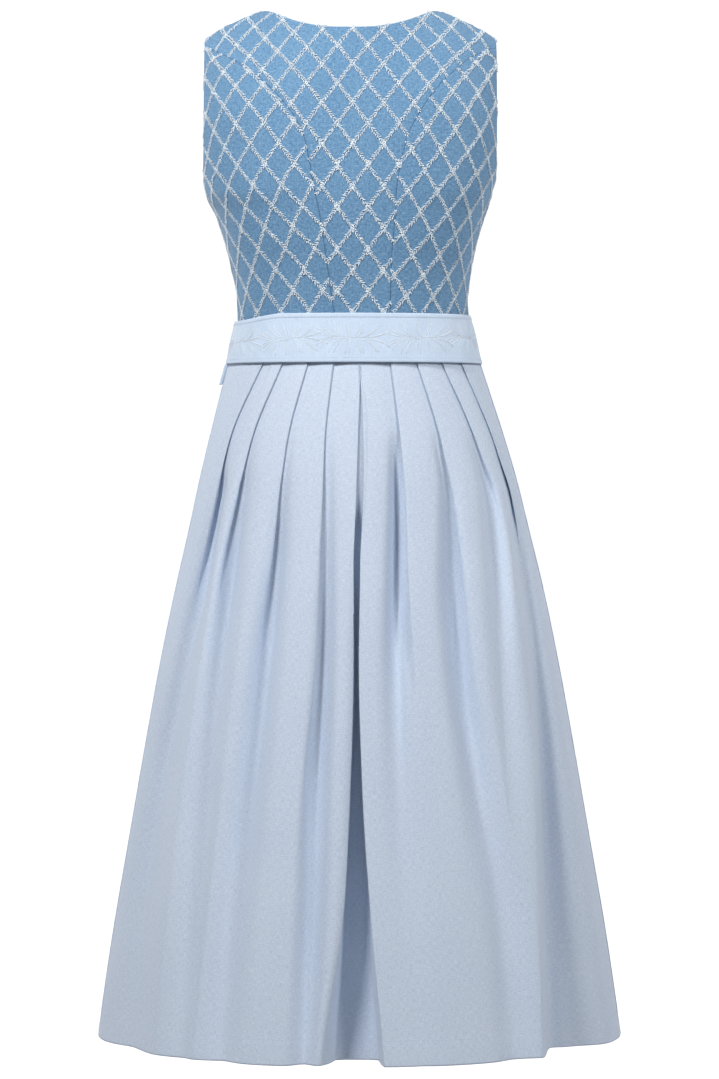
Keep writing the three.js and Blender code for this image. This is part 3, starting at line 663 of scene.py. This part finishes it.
def trellis(name):
    rng = random.Random(name)
    points, normals, u, v = panel_grids[name]
    u0, v0 = TRELLIS_START[name]
    fields = np.concatenate([points, normals, u[..., None], v[..., None]], -1)
    paths = []
    for line in trellis_lines(fields, u0, v0):
        paths += yarn_along(line, rng, LINE_STEP, LINE_REACH)
    flat = fields.reshape(-1, 8)
    for i in range(-14, 15):
        for k in range(-14, 15):
            target = np.array([u0 + i * TRELLIS_HALF_WIDE, v0 + k * TRELLIS_HALF_TALL])
            if (i + k) % 2 or np.hypot(*(flat[:, 6:] - target).T).min() > 2.5:
                continue
            near = flat[np.hypot((flat[:, 6] - target[0]) * 4, flat[:, 7] - target[1]) < 5.5]
            if len(near) < 4 or np.ptp(near[:, 7]) < 4:
                continue
            near = near[np.argsort(near[:, 7])][:: max(1, len(near) // 5)]
            paths += yarn_along(near, rng, CROSSING_STEP, CROSSING_REACH)
    return finish_piece(strands(name + "_trellis", paths, TRELLIS))


trellises = {name: trellis(name) for name in bodice}


# Piping along the neck and the armholes

PIPING_RADIUS, PIPING_STEP, PIPING_SUNK = 0.75, 1.6, 0.3
# Rows of the side panels, the front panels and the back panel that border the armholes
UP_ARM, UP_STRAP, UP_BACK = slice(60, None), slice(76, None), slice(120, None)


def edge_cord(name, runs):
    paths = []
    for panel, rows, cols in runs:
        points, normals = (field[rows, cols] for field in panel_grids["bodice_" + panel][:2])
        mids = points - normals * WALL_BODICE * PIPING_SUNK
        line = resample(np.concatenate([mids, normals], 1), PIPING_STEP)
        paths.append((line[:, :3], np.full(len(line), PIPING_RADIUS), unit(line[:, 3:6])))
    return finish_piece(strands(name, paths, PIPING, sides=4))


back_out = np.abs(panel_grids["bodice_back_centre"][0][-1, :, 0])
front_out = np.abs(panel_grids["bodice_front_left"][0][-1, :, 0])
piping_neck = edge_cord("bodice_neck_piping", [
    ("back_centre", -1, np.where(back_out < NECK_HALF + 1)[0]),
    ("front_left", -1, np.where(front_out < NECK_HALF + 1)[0]),
    ("front_right", -1, np.where(front_out[::-1] < NECK_HALF + 1)[0]),
])
piping_armholes = edge_cord("bodice_armhole_piping", [
    ("side_back_left", UP_ARM, 0),
    ("side_back_right", UP_ARM, -1),
    ("back_centre", UP_BACK, 0),
    ("back_centre", UP_BACK, -1),
    ("side_front_left", UP_ARM, -1),
    ("side_front_right", UP_ARM, 0),
    ("front_left", UP_STRAP, 0),
    ("front_right", UP_STRAP, -1),
])


# Skirt

SHEET = 0.55
BACK_ROWS, FRONT_ROWS, HEM_STITCH = 96, 70, 27
# Columns of a fold, closed and open: millimetres past the fold's edge, and depth as a share
CLOSED_OFFSET = [-4, 4, 10.5, 13.5, 14.3, 13.4, 9, 3, 0.3, -0.2, 0.4, 1.6]
CLOSED_DEPTH = [0.93, 1, 1, 0.95, 0.84, 0.7, 0.6, 0.5, 0.36, 0.17, 0.04, 0]
OPEN_OFFSET = np.linspace(-10, 13, 12)
OPEN_DEPTH = 1 - ease(np.linspace(0, 1, 12), 0, 1)


def trough_depth(troughs, out, drop):
    """Depth of the deepest soft trough at a distance from the centre line."""
    deep = 0 * out
    wide = smooth(TROUGH_DROPS, TROUGH_WIDTH, drop)
    for at, depth, away, inward in troughs:
        past = (out - smooth(TROUGH_DROPS, at, drop)) / wide
        share = np.where(past * np.sign(at[0]) > 0, away, inward)
        deep = np.maximum(deep, smooth(TROUGH_DROPS, depth, drop) * np.exp(-((past / share) ** 2)))
    return deep


def half_ring(folds, drop, start, start_deep, per_panel):
    """Angles from the middle outwards and depths, one column for each point of the ring."""
    angles, deeps = [], []
    waist = lerp(0.95, 1, ease(drop, WAIST_SEAM, BAND_BOTTOM))
    begin = start
    for at, steps, opens in folds:
        edge_out = smooth(PLEAT_DROPS, at, drop) * waist
        edge = angle_at(SKIRT, edge_out, drop)
        reach = on_section(SKIRT, edge + 0.5, drop) - on_section(SKIRT, edge - 0.5, drop)
        per_mm = 1 / np.linalg.norm(reach, axis=-1)
        fade = ease(drop, *opens)
        step = smooth(PLEAT_DROPS, steps, drop)
        first = edge + lerp(CLOSED_OFFSET[0], OPEN_OFFSET[0], fade) * per_mm
        for k in range(per_panel):
            s = (k + 0.5) / per_panel
            angles.append(lerp(begin, first, s))
            deeps.append(step * 0.93 * s**2 + start_deep * (1 - s) ** 5)
        for k in range(len(CLOSED_OFFSET)):
            offset = lerp(CLOSED_OFFSET[k], OPEN_OFFSET[k], fade) + 0 * drop
            angles.append(edge + offset * per_mm)
            hidden = np.maximum(step, TUCKED_DEPTH) if offset.min() > 2 else step
            deeps.append(lerp(hidden * CLOSED_DEPTH[k], step * OPEN_DEPTH[k], fade))
        begin = edge + lerp(CLOSED_OFFSET[-1], OPEN_OFFSET[-1], fade) * per_mm
        start_deep = 0 * drop
    for share in [*np.arange(1, per_panel + 6) / (per_panel + 6), 0.993, 0.998, 1]:
        angles.append(lerp(begin, 90, share))
        deeps.append(0 * drop)
    return np.stack(angles, 1), np.stack(deeps, 1)


def ripple(angle, drop, seed):
    """Gentle unevenness of hanging cloth, none at the waist and the seams."""
    rng = random.Random(seed)
    total = 0 * angle
    for wave in (5, 9, 14, 22):
        phase, tilt = rng.uniform(0, 6.28), rng.uniform(-0.006, 0.006)
        slow = 0.6 + 0.4 * np.sin(drop / 130 + rng.uniform(0, 6.28))
        total += np.sin(np.radians(angle) * wave + drop * tilt + phase) * slow * 5 / wave**0.9
    return total * ease(drop, 480, 800)


def rows_from(*runs):
    """Drops from the hem up. A run is (first drop, last drop, count)."""
    return np.concatenate([np.linspace(*run) for run in runs])


def skirt_rows(fine):
    return rows_from((HEM, HEM - 6, 4), (HEM - 12, 620, fine), (613, WAIST_SEAM + 0.5, fine // 2))


def skirt_shell(node, angle, deep, drops, troughs, seed, seam_y):
    drop = np.tile(drops[:, None], (1, angle.shape[1]))
    half, power = column(SKIRT, 1, drops)[:, None], column(SKIRT, 4, drops)[:, None]
    across = np.sin(np.radians(angle))
    out = half * np.sign(across) * np.abs(across) ** (2 / power)
    if troughs is FRONT_TROUGHS:
        out = np.abs(out)
    span = np.minimum(np.abs(np.abs(angle) - 90) / 12, 1)
    depth = deep + (ripple(angle, drop, seed) * 0.8 + 0.8) * span
    trough = trough_depth(troughs, out, drop) * span
    if troughs is BACK_TROUGHS:
        points = beside(SKIRT, angle, drop, -depth)
        fold, back = column(SET_BACK, 1, drop), column(SET_BACK, 2, drop)
        points[..., 1] += trough + back * ease(out - fold, 0, 11) * (1 - ease(out / half, 0.78, 1))
    else:
        points = beside(SKIRT, angle, drop, -depth - trough)
    normals = seam_normals(points, seam_y)
    turned_up = 0.35 * (1 - ease(HEM - drop, 26, 27.5)) - 0.35
    points = points + normals * turned_up[..., None]
    u = arc_rows(points)
    piece = shell(node + "_cloth", points, SHEET, LINEN, flat_cloth(u, drop), normals)
    # The last faces are the rim, which stays flat
    total = len(piece.data.polygons)
    rim_count = 2 * (points.shape[0] + points.shape[1] - 2)
    piece.data.polygons.foreach_set("use_smooth", np.arange(total) < total - rim_count)
    return finish_piece(piece, node), (points, normals, u, drops)


def skirt_back():
    drops = skirt_rows(BACK_ROWS)
    middle, half, deep = (column(CENTRE_PLEAT, k, drops) for k in (1, 2, 3))
    roll = SLIT_ROLL * ease(drops, 960, HEM)
    edge = 0.3 + SLIT_EDGE * ease(drops, 560, 760)
    sides = [
        half_ring(LEFT_PLEATS, drops, angle_at(SKIRT, half - middle + roll, drops), edge, 15),
        half_ring(RIGHT_PLEATS, drops, angle_at(SKIRT, half + middle, drops), 0.3 + 0 * drops, 15),
    ]
    tuck = lerp(5, -3, ease(drops, 850, HEM)) * np.minimum(half / 2, 1)
    bottom = half * 0.85 + np.minimum(half, 1)
    wall = [(0, 0), (0, 0.01), (0.3, 0.12), (0.9, 0.4), (1, 0.7), (1, 0.92), (0.6, 1), (0.2, 1)]
    left, right, left_deeps, right_deeps = [], [], [], []
    for k, (amount, share) in enumerate(wall):
        reach = half + tuck * amount if k < 5 else np.maximum(bottom + tuck * 0.9, bottom) * amount
        left.append(angle_at(SKIRT, middle - reach - roll * (1 - share) ** 1.5 * (k < 5), drops))
        right.append(angle_at(SKIRT, middle + reach, drops))
        left_deeps.append(lerp(np.minimum(edge, deep), deep, share))
        right_deeps.append(lerp(0.3, deep, share))
    slit_angles = np.stack(left + right[::-1], 1)
    slit_deeps = np.stack(left_deeps + right_deeps[::-1], 1)
    angle = np.concatenate([-sides[0][0][:, ::-1], slit_angles, sides[1][0]], 1)
    deep = np.concatenate([sides[0][1][:, ::-1], slit_deeps, sides[1][1]], 1)
    angle[:, 0] = -90
    return skirt_shell("skirt_back", angle, deep, drops, BACK_TROUGHS, 5, -SEAM)


def skirt_front():
    drops = skirt_rows(FRONT_ROWS)
    angle, deep = half_ring(FRONT_PLEATS, drops, 0 * drops, 0 * drops, 8)
    whole = np.concatenate([180 - angle[:, ::-1], 180 + angle], 1)
    depth = np.concatenate([deep[:, ::-1], deep], 1)
    return skirt_shell("skirt_front", whole, depth, drops, FRONT_TROUGHS, 8, SEAM)


back_cloth, back_grid = skirt_back()
front_cloth, front_grid = skirt_front()


# Places in a cloth, stitches and veins

def on_grid(grid, targets):
    """Points and normals of a grid at (across, down) places; down is one value for each row."""
    points, normals, u, rows_down = grid
    row_ids, col_ids = np.arange(len(rows_down)), np.arange(u.shape[1])
    found = []
    for across, down in targets:
        r = np.interp(-down, -rows_down, row_ids)
        low = min(int(r), len(rows_down) - 2)
        c = np.interp(across, lerp(u[low], u[low + 1], r - low), col_ids)
        left = min(int(c), u.shape[1] - 2)
        corner = [
            lerp(field[low, left : left + 2], field[low + 1, left : left + 2], r - low)
            for field in (points, normals)
        ]
        found.append(np.concatenate([lerp(pair[0], pair[1], c - left) for pair in corner]))
    found = np.array(found)
    return found[:, :3], unit(found[:, 3:])


def stitches(name, grids, spacing, length, radius):
    """A row of single stitches; each entry of grids is (grid, down, first, last)."""
    paths = []
    for grid, down, first, last in grids:
        starts = np.arange(first, last - length, spacing)
        begin, facing = on_grid(grid, [(s, down) for s in starts])
        end, _ = on_grid(grid, [(s + length, down) for s in starts])
        for a, b, n in zip(begin, end, facing):
            lift = n * radius * 0.6
            line = np.stack([a, lerp(a, b, 0.25) + lift, lerp(a, b, 0.75) + lift, b])
            paths.append((line, np.full(4, radius), np.tile(n, (4, 1))))
    return finish_piece(strands(name, paths, STITCH))


VEIN_RISE, VEIN_RADIUS = -0.1, 0.5


def frond(across, down, length, height, turn):
    """The veins of one spray: a stem and fine veins that fan out from it, in cloth coordinates."""
    t = np.linspace(0, 1, 8)
    veins = [np.stack([(t - 0.5) * 0.62 * length, 0.02 * length * np.sin(2 * np.pi * t)], 1)]
    for k in range(13):
        share = k / 12 - 0.5
        root = np.array([0.6 * length * share, 0.3 * math.sin(5 * k)])
        lean = 2.3 * share + 0.12 * math.sin(3 * k)
        reach = height * (0.5 - 0.16 * abs(share)) * (1 + 0.12 * math.sin(7 * k))
        for side in (-1, 1):
            way = np.array([math.sin(lean) * 1.5, side * math.cos(lean)])
            tip = root + reach * way
            bend = root + reach * np.array([0.75 * way[0], 0.35 * way[1]])
            s = t[:, None]
            veins.append((1 - s) ** 2 * root + 2 * s * (1 - s) * bend + s**2 * tip)
    spin = np.array([[math.cos(turn), math.sin(turn)], [-math.sin(turn), math.cos(turn)]])
    return [vein @ spin + (across, down) for vein in veins]


def veins_on(name, grid, fronds, radius):
    paths = []
    for leaf in fronds:
        for vein in leaf:
            points, normals = on_grid(grid, vein)
            if np.linalg.norm(np.diff(points, axis=0), axis=1).min() < 0.2:
                continue
            taper = radius * np.sin(np.linspace(0.5, 2.6, len(vein)))
            paths.append((points + normals * VEIN_RISE, taper, normals))
    return finish_piece(strands(name, paths, LEAF))


skirt_stitches = stitches("skirt_hem_stitches", [
    (back_grid, HEM - HEM_STITCH, -620, 620), (front_grid, HEM - HEM_STITCH, -620, 620),
], 5, 1.6, 0.22)


# Waistband and ties: two curved strips that meet at the side seams

BAND_DIP = 7
BAND_HEIGHT = BAND_BOTTOM - BAND_TOP
WALL_BAND, WALL_APRON, WALL_BOW = 1.0, 0.7, 0.9
# Distances of the two rows of stitches below the band's upper edge
STITCHES_HIGH, STITCHES_LOW = 4.8, 49.3


def band_piece(node, start, seam_y, leaves):
    fine = np.array([0, 0.4, 1, 1.8])
    down = np.concatenate([BAND_HEIGHT - fine, np.linspace(51, 6, 26), [5.1, 4.7, 4.3, 3.4, 1.8, 1, 0.4, 0]])
    angle = start + np.linspace(0, 180, 200)[None, :] + 0 * down[:, None]
    share = (down / BAND_HEIGHT)[:, None] + 0 * angle
    turned = np.radians(angle)
    dip = BAND_DIP * ease(-np.sin(turned), 0.55, 1) * (1 - share)
    drop = lerp(BAND_TOP, BAND_BOTTOM, share) + dip
    edge = np.minimum(down, BAND_HEIGHT - down)[:, None]
    fold = 0.35 * (1 - ease(down, 4.2, 5))[:, None] + 0.25 * (1 - ease(BAND_HEIGHT - down, 4.2, 5))[:, None]
    rolled = 0.6 * np.exp(-((edge / 0.6) ** 2))
    wave = 0.35 * np.sin(turned * 17 + 3 * share) + 0.3 * np.sin(turned * 31 - 5 * share)
    points = beside(BAND, angle, drop, fold - rolled + wave * np.sin(np.pi * share) - 0.2)
    normals = seam_normals(points, seam_y)
    u = arc_rows(points)
    cloth = flat_cloth(u, down[:, None])
    piece = shell(node + "_cloth", points, WALL_BAND, SILK, cloth, normals)
    grid = (points, normals, u, down)
    finish_piece(piece, node)
    fronds = [frond(at, BAND_HEIGHT / 2 + lift, 64, 40, turn) for at, lift, turn in leaves]
    return piece, grid, veins_on(node + "_cloth_leaves", grid, fronds, VEIN_RADIUS)


# Leaves: place across, distance below the band's middle and turn
band_back, band_back_grid, band_back_leaves = band_piece("apron_tie_back", -90, -SEAM, [
    (-146, 0, 0.05), (-71, 1, -0.06), (-2, 0, 0.04), (77, 0, 0), (150, -1, 0.06),
])
band_front, band_front_grid, band_front_leaves = band_piece("apron_band_front", 90, SEAM, [
    (-150, 0, 0.05), (-76, 1, -0.04), (0, -1, 0.04), (76, 0, -0.05), (150, 1, 0.03),
])
band_stitches = stitches("apron_band_stitches", [
    (band_back_grid, STITCHES_HIGH, -188, 188), (band_front_grid, STITCHES_HIGH, -190, 190),
    (band_back_grid, STITCHES_LOW, -188, 188), (band_front_grid, STITCHES_LOW, -190, 190),
], 3.2, 1.9, 0.2)


# Apron skirt, gathered into the waistband

def hanging(drop):
    return FOLD_HEIGHT * ease(drop, 430, 900)


def apron_out(angle, drop):
    """How far the apron lies outside the skirt's section."""
    turned = (angle - 180) / 90
    clear = lerp(2.2, 4.6, ease(drop, BAND_BOTTOM, BAND_BOTTOM + 34))
    uneven = 0.7 * np.sin(7 * turned + 1) + 0.5 * np.sin(17 * turned)
    fine = 0.5 + 0.5 * np.cos(np.pi * GATHERS * turned + uneven)
    phase = np.pi * DEEP_FOLDS * turned + 1.2 * np.sin(5 * turned) + 0.0012 * (drop - 700)
    coarse = 0.5 + 0.5 * np.cos(phase)
    gather = GATHER_HEIGHT * ease(drop, BAND_BOTTOM, BAND_BOTTOM + 12) * (1 - 0.8 * ease(drop, 470, 800))
    flat = 1 - 0.85 * ease(np.abs(angle - 180), 50, APRON_RIGHT)
    return clear + gather * fine + hanging(drop) * coarse * flat


def apron_skirt():
    drops = rows_from((APRON_HEM, APRON_HEM - 5, 4), (APRON_HEM - 14, 480, 62), (474, BAND_BOTTOM + 0.5, 26))
    angle = 180 + np.linspace(-APRON_RIGHT, APRON_LEFT, 250)[None, :] + 0 * drops[:, None]
    drop = drops[:, None] + 0 * angle
    points = beside(SKIRT, angle, drop, apron_out(angle, drop))
    normals = grid_normals(points)
    u = arc_rows(points)
    side = np.minimum(u - u[:, :1], u[:, -1:] - u)
    turned = 0.3 * (1 - ease(APRON_HEM - drop, 21, 22.5)) + 0.3 * (1 - ease(side, 8, 9))
    points = points + normals * (turned - 0.3)[..., None]
    piece = shell("apron_skirt_cloth", points, WALL_APRON, SILK, flat_cloth(u, drop), normals)
    return finish_piece(piece, "apron_skirt"), (points, normals, u, drops)


apron, apron_grid = apron_skirt()
sprigs = []
for row in range(6):
    for k in range(-3, 4):
        at = k * (62 + 9 * row) + (31 + 4 * row) * (row % 2)
        if abs(at) < 175 + 32 * row:
            down = 500 + 98 * row + 9 * ((k * 7) % 3)
            sprigs.append(frond(at, down, 76, 46, 1.57 + 0.35 * ((k + row) % 3 - 1)))
apron_leaves = veins_on("apron_skirt_leaves", apron_grid, sprigs, VEIN_RADIUS)
apron_stitches = stitches(
    "apron_hem_stitches", [(apron_grid, APRON_HEM - 22, -380, 380)], 3.6, 2, 0.2
)


# Bow

def over_apron(angle, drop, out):
    """Points that lie on the band or, below it, on the apron."""
    low = 4.4 + 3.6 * ease(drop, BAND_BOTTOM, 440) + hanging(drop)
    on_band = beside(BAND, angle, drop, out)
    on_skirt = beside(SKIRT, angle, np.maximum(drop, BAND_BOTTOM), low + out)
    return np.where((drop < BAND_BOTTOM)[..., None], on_band, on_skirt)


def bow_piece(node, points):
    cloth = flat_cloth(arc_rows(points), along_rows(points.swapaxes(0, 1)).T)
    return finish_piece(shell(node + "_cloth", points, WALL_BOW, SILK, cloth), node)


def bow_loop(node, direction, length, sag):
    """A loop goes out from the knot along the body, turns at its tip and comes back outside."""
    root = (KNOT_REACH - 0.1) / length
    along = [root, 0.45, 0.8, 0.97, 1, 0.95, 0.75, 0.45, root]
    off = [4.6, 4.6, 4.8, 5, 7.5, 10.5, 16, 18, 15]
    halves = [12, 18, 17, 12, 11, 13, 18, 19, 12]
    t = np.linspace(0, 8, 90)
    s, out, half = (smooth(range(9), values, t) for values in (along, off, halves))
    edge = np.linspace(1, -1, 22)[:, None]
    outer = ease(t, 4, 6)
    waves = np.cos(3.2 * np.pi * edge + 2 * s) * 1.1 + np.sin(5 * edge + 1) * 0.5
    crease = waves * (1.1 - s) * (0.4 + 0.6 * outer)
    angle = KNOT_ANGLE + direction * length * s + 0 * edge
    drop = KNOT_DROP + sag * s**1.5 + edge * half
    cupped = -1.6 * edge**2 * outer * np.sin(np.pi * np.clip(s, 0, 1))
    points = over_apron(angle, drop, out + crease + cupped)
    return bow_piece(node, points[:, ::-1] if direction > 0 else points)


def bow_tail(node, lean, length, lift):
    s = np.linspace(1, 0, 80)[:, None]
    edge = np.linspace(-1, 1, 36)[None, :]
    drop = KNOT_DROP + KNOT_HALF + 0.4 + s * length + (1 - edge) * 6 * ease(s, 0.85, 1)
    half = lerp(3.6, 8.4, ease(s, 0, 0.25))
    angle = KNOT_ANGLE + lean * (0.25 + s) + edge * half + 0.35 * np.sin(6 * s + lean)
    fold = 2.2 * np.cos(np.pi * edge * 1.5) * (1 - 0.5 * s) + 0.8 * np.cos(np.pi * edge * 4 + s) * (1 - s)
    return bow_piece(node, over_apron(angle, drop, lift + fold + 3))


def bow_knot():
    lift = np.linspace(-1, 1, 40)[:, None]
    turn = np.linspace(-1, 1, 60)[None, :]
    fade = 1 - turn**4
    bulge = np.sqrt(np.maximum(0, fade)) * (1 - 0.25 * lift**2)
    crease = 0.9 * np.cos(8 * turn + 1.5 * lift) * fade + 0.4 * np.sin(19 * turn - 2 * lift) * fade
    angle = KNOT_ANGLE + turn * KNOT_REACH
    drop = KNOT_DROP - lift * KNOT_HALF * (1 - 0.08 * np.cos(7 * turn))
    return bow_piece("apron_knot", over_apron(angle, drop, 0.35 + KNOT_OUT * bulge + crease - 0.5))


knot = bow_knot()
loop_side = bow_loop("apron_loop_side", 1, 29.5, 38)
loop_front = bow_loop("apron_loop_front", -1, 40, 22)
tail_side = bow_tail("apron_tail_side", 7, 300, 0)
tail_front = bow_tail("apron_tail_front", -9, 330, 6.4)


# Camera, light and floor

CAMERA_PLACE, CAMERA_DIP, CAMERA_LENS, CAMERA_SENSOR = (0.0101, -4.2, -0.462), 1.52, 125.1, 36

camera_data = bpy.data.cameras.new("camera")
camera_data.lens = CAMERA_LENS
camera_data.sensor_width = CAMERA_SENSOR
camera_data.clip_end = 30
camera = add_object("camera", camera_data)
camera.location = CAMERA_PLACE
camera.rotation_euler = (math.radians(90 - CAMERA_DIP), 0, 0)
bpy.context.scene.camera = camera


def area_light(name, place, target, size, power):
    data = bpy.data.lights.new(name, "AREA")
    data.shape = "RECTANGLE"
    data.size, data.size_y = size
    data.energy = power
    lamp = add_object(name, data)
    lamp.location = place
    lamp.rotation_euler = (Vector(target) - Vector(place)).to_track_quat("-Z", "Y").to_euler()


area_light("key", (-1.15, -1.65, 1.3), (0, 0, -0.25), (0.55, 0.5), 51)
area_light("fill", (1.7, -1.75, 1.0), (0.1, 0, -0.2), (0.7, 0.7), 32)
area_light("side_left", (-2.3, 0.4, 0.2), (0, 0, -0.4), (1.2, 1.4), 8)
area_light("side_right", (2.3, 0.4, 0.2), (0, 0, -0.4), (1.2, 1.4), 10)

world = bpy.data.worlds.new("studio")
world.use_nodes = True
background = world.node_tree.nodes["Background"]
background.inputs["Color"].default_value = (0.96, 0.97, 1, 1)
background.inputs["Strength"].default_value = 0.1
bpy.context.scene.world = world
bpy.context.scene.view_settings.view_transform = "Standard"


def floor():
    """A pale floor that curves up into a backdrop."""
    half, front, back, low, radius, high = 13.0, -9.0, 9.0, -1.52, 2.5, 9.5
    profile = [(front, low), (back - radius, low)]
    for k in range(1, 13):
        turn = math.pi / 2 * k / 12
        profile.append((back - radius + radius * math.sin(turn), low + radius - radius * math.cos(turn)))
    profile.append((back, high))
    verts = np.array([(x, y, z) for y, z in profile for x in (-half, half)])
    faces = [(2 * k, 2 * k + 1, 2 * k + 3, 2 * k + 2) for k in range(len(profile) - 1)]
    material, tree, shader = new_material("backdrop")
    place = add_node(tree, "ShaderNodeTexCoord").outputs["Object"]
    tones = [(0.3, (0.5, 0.5, 0.51)), (0.7, (0.54, 0.54, 0.55))]
    colour = ramp(tree, noise(tree, place, (0.7, 0.7, 0.7)), tones)
    tree.links.new(colour, shader.inputs["Base Color"])
    shader.inputs["Roughness"].default_value = 0.95
    shader.inputs["Emission Color"].default_value = (1, 1, 1, 1)
    depth = add_node(tree, "ShaderNodeSeparateXYZ", {0: place}).outputs["Y"]
    glow = add_node(tree, "ShaderNodeMapRange", {0: depth, 1: 1.3, 2: 2.1, 3: 0.0, 4: 0.9}).outputs[0]
    tree.links.new(glow, shader.inputs["Emission Strength"])
    stage = make("floor", verts, faces, material, scale=1)


floor()


# Every sheet of cloth with the cut size of what shows of it

BODICE_SHEETS = {
    "bodice_back_centre": ((0.34, 0.37), 0.05),
    "bodice_side_back_left": ((0.18, 0.33), 0.046),
    "bodice_side_back_right": ((0.18, 0.33), 0.042),
    "bodice_side_front_left": ((0.14, 0.22), 0.025),
    "bodice_side_front_right": ((0.14, 0.22), 0.025),
    "bodice_front_left": ((0.18, 0.37), 0.035),
    "bodice_front_right": ((0.18, 0.37), 0.035),
}
for panel, (flat, area) in BODICE_SHEETS.items():
    trims = [trellises[panel]]
    if panel == "bodice_back_centre":
        trims += [piping_neck, piping_armholes]
